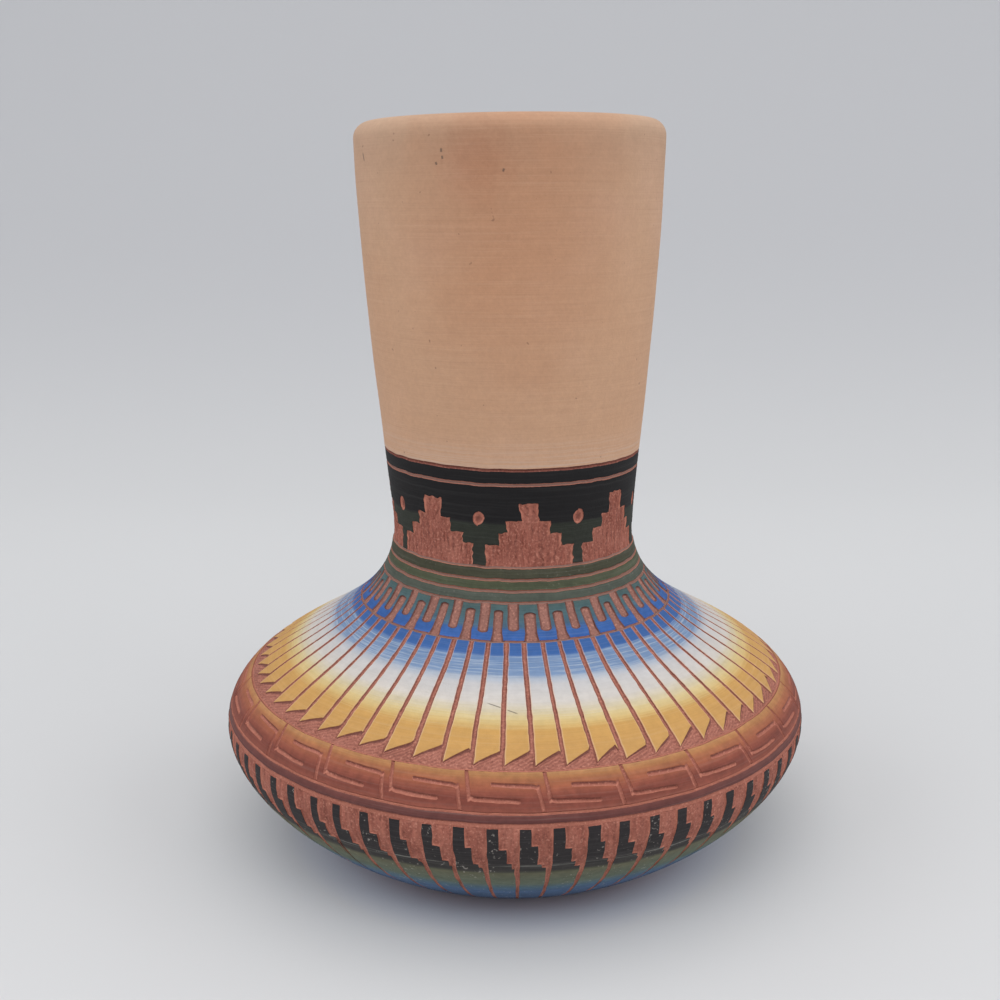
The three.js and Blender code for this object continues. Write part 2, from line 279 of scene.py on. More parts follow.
def laid_ring(name, angles, arcs, lifts, slip, rim):
    """A closed ring of slip: its face is the grid of places, and its back lies just off the clay.
    Slip is 1 where the slip stands and 0 where it is cut away.
    Rim is 1 where the clay of a cut is pale, partly as painted highlight, 2 where it is dusty and below 0
    where it is dark as painted shade.
    On the slip of a feather it is above 0 where a painted highlight lies along a groove's edge."""
    sideways, rise = wander(angles, arcs)
    turned = angles + np.degrees(sideways / radius_at(arcs))
    risen = arcs + rise
    picked = np.linspace(arcs.shape[1] - 1, 0, BACK_ROWS).round().astype(int)
    back = place(turned[:, picked], risen[:, picked], -COAT)
    points = np.concatenate((place(turned, risen, lifts), back), axis=1)
    bare = np.zeros(back.shape[:2])
    return mesh_object(
        name, points, ring_quads(*points.shape[:2], closed=True).tolist(),
        arc=np.concatenate((arcs, arcs[:, picked]), axis=1),
        slip=np.concatenate((slip, bare), axis=1),
        rim=np.concatenate((rim, bare), axis=1),
    )


def round_vase(count):
    """Even angles round the whole vase."""
    return np.arange(count) * 360 / count


def joined(parts):
    """The parts end to end, and the number of the part that each value comes from."""
    return np.concatenate(parts), np.repeat(np.arange(len(parts)), [len(part) for part in parts])


def with_margins(rows):
    """Adds a sloped cut edge outside the first and last row."""
    return np.concatenate(([rows[0] - CUT_SLOPE], rows, [rows[-1] + CUT_SLOPE]))


def grid(columns, rows):
    """Angles and arc lengths of a grid, one row of each for every column."""
    return np.meshgrid(columns, rows, indexing="ij")


def grown(distance, width):
    """Nought up to no distance, growing evenly to one at the width."""
    return np.clip(distance / width, 0, 1)


def near(distance, width):
    """One at no distance, falling evenly to nought at the width on both sides."""
    return np.clip(1 - np.abs(distance) / width, 0, 1)


def share_cut(inside):
    """How much of the slip is cut away, from the distance inside the cut's edge."""
    return grown(inside, CUT_SLOPE)


def edges_cut(arcs, base, top):
    """The cut edges of a band, whose slip reaches from its base to its top."""
    return np.maximum(share_cut(base - arcs), share_cut(arcs - top))


# Clay in the ring lines: pale low on the vase as painted highlight, dusty round the waist and dark under the
# neck as painted shade
LINE_RIM_ARCS = (42, 44, 47, 55, 80, 114, 115.5)
LINE_RIMS = (0.4, 0.9, 0.8, 0.6, 2, 2, -0.6)
LOWER_EDGE_RIM = 0.8
RIM_WIDTH = 0.38


def line_rim(arc):
    return np.interp(arc, LINE_RIM_ARCS, LINE_RIMS)


def edge_rim(arcs, base, top):
    """The clay beside the two edges of a band, with the painted highlight, dust and painted shade of its
    ring line.
    """
    return line_rim(arcs) * np.maximum(share_cut(arcs - top), LOWER_EDGE_RIM * share_cut(base - arcs))


def wall_foot(inside):
    """One at the foot of a cut's wall, fading on both sides, from the distance inside the cut."""
    return near(inside - CUT_SLOPE, RIM_WIDTH)


SLIP_RELIEF = 0.01
STROKE_HEIGHT = 0.05
slip_relief = uneven(11, 8, 0.9)
cross_relief = uneven(13, 1.6, 1.7)
carved_tone = uneven(15, 1.5, 9)
BLADE_STROKES = ((uneven(12, 1.2, 12), 1), (uneven(14, 0.6, 6), 0.5), (cross_relief, 0.4))


def relief(angles, arcs, cut, strokes=STROKE_HEIGHT):
    """Lift of a face: brushed slip where nothing is cut, and strokes of the blade where it is."""
    carved = strokes * summed(BLADE_STROKES, angles, arcs) - CUT_DEPTH
    return cut * carved + (1 - cut) * SLIP_RELIEF * slip_relief(angles, arcs)


# Bands. Widths, depths and whatever lies along the outline are in millimetres. Phases, leans, reaches,
# flares, spreads to the side, gaps between columns and the lengths of a key are in degrees.
PLAIN_COLUMNS = 480
PLAIN_GAP = 0.45
ROW_GAP = 0.3
COLUMN_GAP = 0.42


def plain_band(name, base, top, inset=0.03):
    """Ring whose slip ends a little inside its two edges."""
    low, high = base + inset, top - inset
    rows = with_margins(filled([base, low, high, top], PLAIN_GAP))
    angles, arcs = grid(round_vase(PLAIN_COLUMNS), rows)
    cut = edges_cut(arcs, low, high)
    return laid_ring(name, angles, arcs, relief(angles, arcs, cut), 1 - cut, edge_rim(arcs, low, high))


TERRACE_COUNT = 8
TERRACE_PHASE = 7.6
TERRACE_WIDTHS = (18.0, 13.2, 8.4, 4.2)
TERRACE_TOPS = (4.1, 6.6, 9.3, 13.0)
TERRACE_COLUMN_GAP = 0.55
TIER_STRIP = 0.2
TIER_SIDE_SPREAD = 0.5
TIER_RISE_SPREAD = 0.22
KNOB_RISE_SPREAD = 0.3
KNOB_LEAN_SPREAD = 0.7
KNOB_REACH = 6
TIER_PINCH = -0.1
TIER_FLARE = 0.45
TIER_FLARE_REACH = 1.3
TIER_FLARE_FADE = 0.6
TERRACE_TONE = 0.2
TERRACE_SHADE = 0.05
DOT_WIDTH = 2.5
DOT_HEIGHT = 3.1
DOT_RISE = 9.6
DOT_TAPER = 0.25
DOT_MARGIN = 0.3
DOT_ROW_GAP = 0.2
DOT_ROW_CLEARANCE = 0.12
DOT_EDGE = (0.86, 1.14)
DOT_DEPTH = 1.2 * CUT_DEPTH
DOT_RIM_SHARES = (0, 0.4, 0.72, 1)
DOT_RIMS = (-0.75, -0.5, 0.7, 0.95)
STAIR_SIDE = 0.1
STAIR_RISE = 0.08
stair_side = uneven(28, 2.6, 2.2)
stair_rise = uneven(29, 4.2, 3.0)


def terrace_band():
    """Black band with stepped terraces cut out of its lower edge and an oval scoop between each two."""
    rng = np.random.default_rng(21)
    step = 360 / TERRACE_COUNT
    to_mm = degree_at(WAIST_ARC)
    centres = TERRACE_PHASE + step * np.arange(TERRACE_COUNT)
    halves = degrees_of(np.array(TERRACE_WIDTHS) / 2, WAIST_ARC)
    slope = degrees_of(CUT_SLOPE, WAIST_ARC)
    strip = degrees_of(TIER_STRIP, WAIST_ARC)
    columns, sides = [], []
    for centre in centres:
        left = centre - halves + rng.normal(0, TIER_SIDE_SPREAD, len(halves))
        right = centre + halves + rng.normal(0, TIER_SIDE_SPREAD, len(halves))
        marks = np.concatenate((
            left, left + slope, left + slope + strip, right - slope - strip, right - slope, right,
            [centre - step / 2, centre + step / 2],
        ))
        columns.append(filled(marks, TERRACE_COLUMN_GAP)[:-1])
        sides.append((left, right))
    columns, owners = joined(columns)
    tops = TERRACE_BASE + np.array(TERRACE_TOPS)
    marks = np.concatenate((
        tops, tops - CUT_SLOPE, tops - CUT_SLOPE - TIER_STRIP, [TERRACE_BASE, TERRACE_TOP],
    ))
    dot_arc = TERRACE_BASE + DOT_RISE
    dot_reach = DOT_HEIGHT / 2 + DOT_MARGIN
    near_dots = np.arange(dot_arc - dot_reach, dot_arc + dot_reach, DOT_ROW_GAP)
    clear = [arc for arc in near_dots if np.abs(marks - arc).min() > DOT_ROW_CLEARANCE]
    rows = with_margins(filled(np.concatenate((marks, clear)), ROW_GAP))
    angles, arcs = grid(columns, rows)

    # Each side of each terrace has steps of its own height
    control = [TERRACE_BASE, *tops, TERRACE_TOP]
    shifts = np.zeros_like(arcs)
    for number, centre in enumerate(centres):
        mine = owners == number
        for side in (-1, 1):
            beside = mine & ((columns - centre) * side >= 0)
            heights = [0, *rng.normal(0, TIER_RISE_SPREAD, len(tops) - 1), 0, 0]
            shifts[beside] = np.interp(arcs[beside], control, heights)
        shifts[mine] += np.interp(arcs[mine], control, [0, 0, 0, 0, rng.normal(0, KNOB_RISE_SPREAD), 0])

    # Each tier flares a little towards its top, and the knob leans
    inside = np.full(arcs.shape, -1.0)
    leans = np.zeros_like(arcs)
    for number, (left, right) in enumerate(sides):
        mine = owners == number
        here, up = angles[mine], arcs[mine]
        own = np.full(up.shape, -1.0)
        own_lean = np.zeros(up.shape)
        foot = TERRACE_BASE
        for low, high, top in zip(left, right, tops):
            own = np.maximum(own, np.minimum(np.minimum(here - low, high - here) * to_mm, top - up))
            for edge, side in ((low, -1), (high, 1)):
                flares = [TIER_PINCH, rng.uniform(0.0, TIER_FLARE), 0]
                flare = np.interp(up, [foot, top, top + TIER_FLARE_FADE], flares)
                own_lean += near(here - edge, TIER_FLARE_REACH) * side * flare
            foot = top
        knob = np.clip(1.4 - np.abs(here - (left[-1] + right[-1]) / 2) / KNOB_REACH, 0, 1)
        knob_lean = knob * rng.normal(0, KNOB_LEAN_SPREAD)
        own_lean += knob_lean * np.interp(up, [tops[-2], tops[-1], TERRACE_TOP], [0, 1, 0])
        inside[mine] = own
        leans[mine] = own_lean

    # The oval scoops: nearby grid points are drawn onto their edges
    scoop = np.zeros(arcs.shape)
    ringed = np.zeros(arcs.shape)
    inner, outer = DOT_EDGE
    for centre in centres + step / 2:
        offset = ((angles - centre + 180) % 360 - 180) * to_mm
        rise = arcs - dot_arc
        tapered = np.where(rise < 0, 1 + DOT_TAPER * rise / DOT_HEIGHT, 1)
        reach = np.hypot(offset / (DOT_WIDTH / 2 * tapered), rise / (DOT_HEIGHT / 2))
        pull = np.where((reach > inner) & (reach < outer), 1 / np.maximum(reach, inner) - 1, 0)
        angles = angles + pull * offset / to_mm
        arcs = arcs + pull * rise
        scoop = np.where(reach < inner, np.clip(1.3 - reach, 1, 1.15), scoop)
        # Each scoop is darker in its middle as painted shade and paler at its rim as painted highlight
        ringed = np.where(reach < outer, np.interp(reach, DOT_RIM_SHARES, DOT_RIMS), ringed)

    cut = np.maximum(share_cut(inside), edges_cut(arcs, TERRACE_BASE, TERRACE_TOP))
    lifts = np.where(scoop > 0, -DOT_DEPTH * scoop, relief(angles, arcs, cut))
    # Pale at the foot of each step's wall, partly as painted highlight
    rim = edge_rim(arcs, TERRACE_BASE, TERRACE_TOP) * (inside < 0) + wall_foot(inside)
    rim = rim + (TERRACE_TONE * carved_tone(angles, arcs) - TERRACE_SHADE) * (inside > 0)
    rim = np.where(scoop > 0, ringed, rim)

    # The blade wavered along each step, but not at the band's own edges or the scoops
    loose = grown(inside + 1, 0.5) * grown(TERRACE_TOP - arcs, 2) * (scoop == 0)
    loose = loose * grown(arcs - TERRACE_BASE, 1.2)
    leans = leans + STAIR_SIDE * stair_side(angles, arcs) * loose / to_mm
    shifts = shifts + STAIR_RISE * stair_rise(angles, arcs) * loose
    slip = 1 - np.maximum(cut, scoop > 0)
    return laid_ring("terrace_band_looks", angles + leans, arcs + shifts, lifts, slip, rim)


FRET_COUNT = 32
FRET_PHASE = -5.4
FRET_SLOT = 2.15
FRET_TOP_BAR = 1.1
FRET_BOTTOM_BAR = 1.9
FRET_CENTRE_SPREAD = 0.16
FRET_SLOT_SHARES = (0.9, 1.12)
FRET_END_SPREAD = 0.3
FRET_END_ROUNDING = 0.4
FRET_MOUTH_SHARE = 0.28
FRET_MOUTH_HEIGHT = 1.6
# Painted shade at the foot of the slot walls
FRET_WALL_SHADE = -0.8


def fret_ribbon():
    """Unbroken meander between slots cut from below and from above by turns."""
    rng = np.random.default_rng(22)
    step = 360 / FRET_COUNT
    middle = (FRET_BASE + FRET_TOP) / 2
    to_mm = degree_at(middle)
    slope = CUT_SLOPE / to_mm
    low_end = FRET_BASE + FRET_BOTTOM_BAR
    high_end = FRET_TOP - FRET_TOP_BAR
    marks = [FRET_BASE, FRET_TOP, low_end, low_end + CUT_SLOPE, high_end, high_end - CUT_SLOPE]
    rows = with_margins(filled(marks, ROW_GAP))
    columns, centres, halves = [], [], []
    for number in range(2 * FRET_COUNT):
        centre = FRET_PHASE + number * step / 2 + rng.normal(0, FRET_CENTRE_SPREAD)
        half = FRET_SLOT / 2 / to_mm * rng.uniform(*FRET_SLOT_SHARES)
        beyond = half + (step / 4 - half) / 2
        own = [-step / 4 + 0.02, -beyond, -half, slope - half, -half / 2, 0,
               half / 2, half - slope, half, beyond]
        columns.append(centre + np.array(own))
        centres.append(centre)
        halves.append(half)
    columns, owners = joined(columns)
    centres, halves = np.array(centres)[owners][:, None], np.array(halves)[owners][:, None]
    from_below = (owners % 2 == 0)[:, None]
    angles, arcs = grid(columns, rows)
    aside = angles - centres
    across = (halves - np.abs(aside)) * to_mm
    inside = np.minimum(across, np.where(from_below, high_end - arcs, arcs - low_end))
    cut = np.maximum(share_cut(inside), edges_cut(arcs, FRET_BASE, FRET_TOP))

    # Rounded slot ends of uneven length, and slots that open a little at the mouth
    longer = rng.normal(0, FRET_END_SPREAD, 2 * FRET_COUNT)[owners][:, None]
    bend = FRET_END_ROUNDING * np.clip(1 - across / (halves * to_mm), 0, 1) ** 2
    control = [FRET_BASE, low_end, high_end, FRET_TOP]
    shift_low = np.interp(arcs, control, [0, 1, 0, 0]) * (bend + longer) * ~from_below
    shift_high = np.interp(arcs, control, [0, 0, 1, 0]) * (longer - bend) * from_below
    flare = np.interp(arcs, [FRET_BASE, FRET_BASE + FRET_MOUTH_HEIGHT], [FRET_MOUTH_SHARE, 0]) * from_below
    equal_width = np.where(across > -0.01, radius_at(middle) / radius_at(arcs), 1)
    turned = centres + aside * (1 + flare) * equal_width
    # Painted shade at the foot of each slot's walls, and a painted shadow under the bar that closes each
    # slot from below
    rim = edge_rim(arcs, FRET_BASE, FRET_TOP) * (inside < 0) + FRET_WALL_SHADE * wall_foot(inside)
    under_bar = from_below & (across > 0) & (np.abs(arcs - high_end + CUT_SLOPE) < CUT_SLOPE)
    rim = np.where(under_bar, -1, rim)
    lifts = relief(turned, arcs, cut)
    return laid_ring("fret_ribbon_looks", turned, arcs + shift_low + shift_high, lifts, 1 - cut, rim)


FEATHER_COUNT = 63
FEATHER_PHASE = -2.4
FEATHER_GROOVE = 0.98
FEATHER_GROOVE_SHARES = (0.85, 1.15)
FEATHER_CENTRE_SPREAD = 0.12
FEATHER_LEAN_SPREAD = 0.16
FEATHER_TIP = KEY_TOP + 1.15
FEATHER_TIP_TILT = 0.5
FEATHER_TIP_RISE = 2.7
FEATHER_TIP_SPREAD = 0.1
FEATHER_TIP_CURVE = 0.85
FEATHER_SPREAD = 1.8
FEATHER_SPREAD_ARCS = (FEATHER_BASE + 4, FEATHER_TOP)
FEATHER_ROW_GAP = 0.5
FEATHER_STROKES = 0.025
GROOVE_FOOT = 0.5 - CUT_SLOPE / FEATHER_GROOVE
GROOVE_SHARES = (-0.5, -GROOVE_FOOT, -0.2, 0, 0.2, GROOVE_FOOT, 0.5)
# Clay across a groove: painted shade at the foot of each wall and a paler middle
GROOVE_RIMS = (0, -0.5, 0.1, 0.45, 0.1, -0.5, 0)
GROOVE_WAVER = 0.03
# Painted highlight on the slip along the two edges of each groove
GROOVE_EDGE_HIGHLIGHTS = (1, 0.6)
FEATHER_SHARES = (0.07, 0.2, 0.35, 0.5, 0.65, 0.8, 0.93)
HATCH_ROWS = 26
HATCH_PITCH = 0.7
HATCH_LIFT = 0.06
HATCH_RIM = 0.3
GROUND_RIM = 0.22
# Painted shadow under each feather's slanted tip
UNDER_TIP_SHADOW = -0.7
groove_waver = uneven(27, 2.0, 2.4)


def feather_fan():
    """Fan of feathers between narrow grooves, each tip cut on a slant, with hatched ground below."""
    rng = np.random.default_rng(23)
    step = 360 / FEATHER_COUNT
    tip = FEATHER_TIP
    upper = filled([tip + CUT_SLOPE, FEATHER_TOP], FEATHER_ROW_GAP)[1:]
    hatched = np.linspace(FEATHER_BASE, tip, HATCH_ROWS)
    rows = with_margins(np.concatenate((hatched, [tip + CUT_SLOPE], upper)))
    widths = FEATHER_GROOVE * rng.uniform(*FEATHER_GROOVE_SHARES, FEATHER_COUNT)
    centres = FEATHER_PHASE + step * np.arange(FEATHER_COUNT)
    centres = centres + rng.normal(0, FEATHER_CENTRE_SPREAD, FEATHER_COUNT)
    leans = rng.normal(0, FEATHER_LEAN_SPREAD, FEATHER_COUNT)

    # Each feather has the columns of the groove on its left, and then its own
    height = (rows - rows[0]) / (rows[-1] - rows[0])
    middles = centres[:, None] + leans[:, None] * (height - 0.5)
    halves = degrees_of(widths[:, None] / 2, rows) * (1 + GROOVE_WAVER * groove_waver(middles, rows))
    next_lefts = np.roll(middles - halves, -1, axis=0)
    next_lefts[-1] += 360
    groove = np.array(GROOVE_SHARES)
    own = np.array(FEATHER_SHARES)
    left = (middles + halves)[:, None]
    in_groove = middles[:, None] + 2 * groove[:, None] * halves[:, None]
    on_feather = left + own[:, None] * (next_lefts[:, None] - left)
    angles = np.concatenate((in_groove, on_feather), axis=1).reshape(-1, len(rows))
    plain = np.zeros(len(own))

    def for_all(groove_values, own_values):
        return np.tile(np.concatenate((groove_values, own_values)), FEATHER_COUNT)[:, None]

    shares = for_all(groove <= 0, own)
    across = for_all(share_cut((0.5 - np.abs(groove)) * FEATHER_GROOVE), plain)
    groove_rims = for_all(GROOVE_RIMS, plain)
    arcs = np.broadcast_to(rows, angles.shape)
    cut = np.maximum(across, share_cut(tip + CUT_SLOPE - arcs))
    cut = np.maximum(cut, edges_cut(arcs, FEATHER_BASE, FEATHER_TOP))
    uneven_tips = np.repeat(rng.normal(0, 1, FEATHER_COUNT), len(groove) + len(own))[:, None]
    slant = FEATHER_TIP_RISE * shares ** FEATHER_TIP_CURVE * (1 + FEATHER_TIP_SPREAD * uneven_tips)
    slant = slant - FEATHER_TIP_TILT * np.sin(np.radians(angles))
    control = [FEATHER_BASE, tip, tip + CUT_SLOPE, tip + 3 * FEATHER_TIP_RISE, FEATHER_TOP]
    moved = arcs + np.interp(arcs, control, [0, 1, 1, 0, 0]) * slant
    spread = FEATHER_SPREAD * np.sin(np.radians(angles)) * np.interp(moved, FEATHER_SPREAD_ARCS, (0, 1))
    crossing = 0.5 * cross_relief(angles, moved)
    hatch = np.sin((tip + slant - moved) * 2 * math.pi / HATCH_PITCH + crossing)
    below = share_cut(tip - arcs) * (arcs >= FEATHER_BASE)
    lifts = relief(angles, moved, cut, strokes=FEATHER_STROKES) + HATCH_LIFT * hatch * below
    # A painted shadow under each tip, and a painted highlight on the slip beside each groove
    under_tip = (arcs > tip - CUT_SLOPE / 2) & (arcs < tip + 0.01) & (across == 0)
    rim = np.where(below > 0, HATCH_RIM * hatch + GROUND_RIM, groove_rims)
    rim = np.where(under_tip, UNDER_TIP_SHADOW, rim)
    rim = np.where(cut == 1, rim, np.minimum(rim, 0))
    rim = rim + edge_rim(arcs, FEATHER_BASE, FEATHER_TOP) * (across == 0)
    beside_groove = (across == 0) & ((shares == 0) | (shares == 1)) & (cut == 0)
    rim = np.where(beside_groove, np.where(shares == 0, *GROOVE_EDGE_HIGHLIGHTS), rim)
    return laid_ring("feather_fan_looks", angles + spread, moved, lifts, 1 - cut, rim)


KEY_COUNT = 26
KEY_PHASE = -8.6
KEY_LINE = 1.0
KEY_DEPTH = 0.36
KEY_BEVEL = 0.55
KEY_LOWER = KEY_BASE + 1.75
KEY_UPPER = KEY_BASE + 4.65
KEY_LOWER_LENGTH = 8.2
KEY_UPPER_START = 4.4
KEY_UPPER_END = 12.1
KEY_UPRIGHT = 0.88
KEY_CORNER = 0.2
KEY_CORNER_RISE = 0.35
KEY_CORNER_REACH = 1.1
KEY_ROW_SHARES = (-1, -0.4, 0.3, 1)
KEY_COLUMN_SHARES = (-1, -0.35, 0.35, 1)
KEY_START, KEY_END = -0.07, 0.93
KEY_RISE_SPREAD = 0.2
KEY_TILTS = (0.3, 0.7)
KEY_SAG = 0.35
KEY_SAG_SHARES = (0.3, 1.4)
KEY_LEANS = (0.9, 1.6)
KEY_UPRIGHT_RIM = 0.4


def key_band():
    """Band with thin key lines by turns: one falls from the upper edge and runs right,
    the next starts above its free end, runs right and falls to the lower edge."""
    rng = np.random.default_rng(24)
    step = 360 / KEY_COUNT
    to_mm = degree_at((KEY_BASE + KEY_TOP) / 2)
    lower, upper = KEY_LOWER, KEY_UPPER
    marks = [line + share * KEY_LINE / 2 for line in (lower, upper) for share in KEY_ROW_SHARES]
    rows = with_margins(filled([KEY_BASE, KEY_TOP, *marks], ROW_GAP))
    width = KEY_UPRIGHT / 2 / to_mm
    spots = (0, KEY_LOWER_LENGTH, KEY_UPPER_START, KEY_UPPER_END)
    marks = [spot + share * width for spot in spots for share in KEY_COLUMN_SHARES]
    own = filled([step * KEY_START, step * KEY_END, *marks], COLUMN_GAP)[:-1]
    starts = KEY_PHASE + np.arange(KEY_COUNT) * step
    columns, numbers = joined(starts[:, None] + own)
    angles, arcs = grid(columns, rows)
    along = (columns - starts[numbers])[:, None]

    def stroke(low_angle, high_angle, low_arc, high_arc, width):
        """Depth of a carved stroke, and the tone of its clay: on a level stroke painted shade on the upper
        side and painted highlight on the lower side, on an upright a set pale tone.
        """
        aside = np.maximum(np.maximum(low_angle - along, along - high_angle), 0) * to_mm
        above = np.maximum(np.maximum(low_arc - arcs, arcs - high_arc), 0)
        depth = grown(1 - np.hypot(aside, above) / (width / 2), KEY_BEVEL)
        level = np.clip((low_arc - arcs) / (0.3 * width) + 0.35, -0.8, 0.6)
        return depth, np.where(depth > 0, level if low_arc == high_arc else KEY_UPRIGHT_RIM, 0)

    strokes = [
        stroke(0, 0, lower, KEY_TOP + 1, KEY_UPRIGHT),
        stroke(KEY_CORNER, KEY_LOWER_LENGTH, lower, lower, KEY_LINE),
        stroke(KEY_UPPER_START, KEY_UPPER_END - KEY_CORNER, upper, upper, KEY_LINE),
        stroke(KEY_UPPER_END, KEY_UPPER_END, KEY_BASE - 1, upper, KEY_UPRIGHT),
    ]
    line = np.maximum.reduce([depth for depth, _ in strokes])
    tone = np.clip(np.sum([side for _, side in strokes], axis=0), -1, 1)
    cut = edges_cut(arcs, KEY_BASE, KEY_TOP)

    # Each key has a tilt, a sag and a lean of its own, and its corners reach out a little
    shifts = np.zeros_like(arcs)
    leans = np.zeros_like(arcs)
    control = [KEY_BASE, lower, upper, KEY_TOP]
    for number, start in enumerate(starts):
        mine = numbers == number
        here, up = along[mine], arcs[mine]
        tilt = np.sin(np.radians(start + step / 2))
        low_shift, high_shift = rng.normal(0, KEY_RISE_SPREAD, 2) - np.array(KEY_TILTS) * tilt
        sag = -KEY_SAG * rng.uniform(*KEY_SAG_SHARES) * (here / KEY_LOWER_LENGTH - 0.5)
        bell = grown(np.minimum(here + 1, step * 0.95 - here), 1.2)
        lower_corner = near(here, KEY_CORNER_REACH) ** 2 * (here >= 0)
        upper_corner = near(KEY_UPPER_END - here, KEY_CORNER_REACH) ** 2 * (here <= KEY_UPPER_END)
        own_shift = np.interp(up, control, [0, low_shift, high_shift, 0]) * bell
        own_shift += np.interp(up, control, [0, 1, 1, 0]) * sag * bell
        own_shift += np.interp(up, control, [0, 1, 0, 0]) * KEY_CORNER_RISE * lower_corner
        own_shift -= np.interp(up, control, [0, 0, 1, 0]) * KEY_CORNER_RISE * upper_corner
        shifts[mine] = own_shift
        leans[mine] = rng.uniform(*KEY_LEANS) * (KEY_TOP - up) / KEY_BAND_HEIGHT
    lifts = relief(angles, arcs, cut) - KEY_DEPTH * line
    rim = edge_rim(arcs, KEY_BASE, KEY_TOP) + tone
    return laid_ring("key_band_looks", angles + leans, arcs + shifts, lifts, (1 - cut) * (1 - line), rim)


PANEL_COUNT = 66
PANEL_PHASE = 0.7
PANEL_WIDTHS = (1.95, 3.25, 4.35)
PANEL_DROPS = (4.3, 8.3, 9.8)
PANEL_SIDE_SPREAD = 0.14
PANEL_RISE_SPREAD = 0.35
PANEL_RISE_SHARES = (0.5, 1, 1)
PANEL_TOP_SPREAD = 0.05
PANEL_GROOVE = 0.85
PANEL_GROOVE_WIDENING = 0.3
PANEL_ROW_GAP = 0.33
LOWER_ROW_GAP = 0.9
PANEL_EDGE_WIDTH = 0.6
PANEL_STROKES = 0.06
PANEL_WAVER = 0.035
PANEL_WALL_RIM = 0.5
PANEL_TONE = 0.12
PANEL_PALE = 0.08
edge_waver = uneven(26, 6, 5)


def stepped_panels():
    """Black stepped columns on a ring that thin grooves part, with stroked clay between the columns."""
    rng = np.random.default_rng(25)
    step = 360 / PANEL_COUNT
    to_mm = degree_at(BELLY_ARC)
    slope = CUT_SLOPE / to_mm
    groove = PANEL_GROOVE / to_mm
    drops = PANEL_TOP - np.array(PANEL_DROPS)
    lowest = drops[-1]
    plain = filled([PANEL_BASE, lowest - 3], LOWER_ROW_GAP)[:-1]
    stepped = filled([*drops, *(drops + CUT_SLOPE), PANEL_TOP, lowest - 3], PANEL_ROW_GAP)
    rows = with_margins(np.concatenate((plain, stepped)))
    columns, sides = [], []
    for number in range(PANEL_COUNT):
        left = PANEL_PHASE + number * step + rng.normal(0, PANEL_SIDE_SPREAD)
        rights = np.array(PANEL_WIDTHS) / to_mm + rng.normal(0, PANEL_SIDE_SPREAD, len(drops))
        marks = [-groove, -groove + slope, -slope, 0, -groove / 2, step - groove - 0.03]
        columns.append(left + filled([*marks, *rights, *(rights + slope)], COLUMN_GAP)[:-1])
        sides.append((left, rights))
    columns, owners = joined(columns)
    order = np.argsort(columns)
    columns, owners = columns[order], owners[order]
    angles, arcs = grid(columns, rows)
    inside = np.full(arcs.shape, -1.0)
    shifts = np.zeros_like(arcs)
    leans = np.zeros_like(arcs)
    control = [FOOT_MARGIN, lowest - 2.5, *drops[::-1], PANEL_TOP, PANEL_TOP + CUT_SLOPE]
    for number, (left, rights) in enumerate(sides):
        mine = owners == number
        up = arcs[mine]
        along = (angles[mine] - left) * to_mm
        own = np.maximum(np.minimum(along + PANEL_GROOVE, -along), np.minimum(-along, up - lowest))
        for right, top in zip(rights, drops):
            own = np.maximum(own, np.minimum(along - right * to_mm, up - top))
        inside[mine] = own
        rises = rng.normal(0, PANEL_RISE_SPREAD, len(drops)) * PANEL_RISE_SHARES
        heights = [0, 0, *rises, rng.normal(0, PANEL_TOP_SPREAD), 0]
        shifts[mine] = np.interp(up, control, heights)

        # The groove starts wider under the columns, and each edge wavers a little
        wider = PANEL_GROOVE_WIDENING * np.interp(up, [lowest - 8, lowest, lowest + 1], [0, 1, 0])
        wavering = PANEL_WAVER * edge_waver(angles[mine] * 3, up)
        leans[mine] = (wavering - wider * near(along + PANEL_GROOVE, PANEL_EDGE_WIDTH)) / to_mm
    cut = np.maximum(share_cut(inside), edges_cut(arcs, PANEL_BASE, PANEL_TOP))
    lifts = relief(angles, arcs, cut, strokes=PANEL_STROKES)
    # Pale at the foot of each column's wall, partly as painted highlight
    rim = PANEL_WALL_RIM * wall_foot(inside) + edge_rim(arcs, PANEL_BASE, PANEL_TOP) * (inside < 0)
    rim = rim + (PANEL_TONE * carved_tone(angles, arcs) + PANEL_PALE) * (inside > 0)
    return laid_ring("stepped_panels_looks", angles + leans, arcs + shifts, lifts, 1 - cut, rim)


NECK_COLUMNS = 400
NECK_GAP = 0.42
NECK_RELIEF_FADE = 6
NECK_RELIEF = ((uneven(31, 200, 1.6), 0.008), (uneven(32, 45, 30), 0.03))


def neck_slip():
    """Brushed neck, over the lip and a little way into the mouth, with faint marks of the wheel."""
    rows = with_margins(filled([NECK_BASE, RIM_ARC, LIP_ARC, INSIDE_ARC, NECK_TOP], NECK_GAP))
    angles, arcs = grid(round_vase(NECK_COLUMNS), rows)
    cut = edges_cut(arcs, NECK_BASE, NECK_TOP)
    on_neck = grown(RIM_ARC - arcs, NECK_RELIEF_FADE)
    lifts = -cut * CUT_DEPTH + summed(NECK_RELIEF, angles, arcs) * on_neck
    return laid_ring("neck_slip_looks", angles, arcs, lifts, 1 - cut, edge_rim(arcs, NECK_BASE, NECK_TOP))


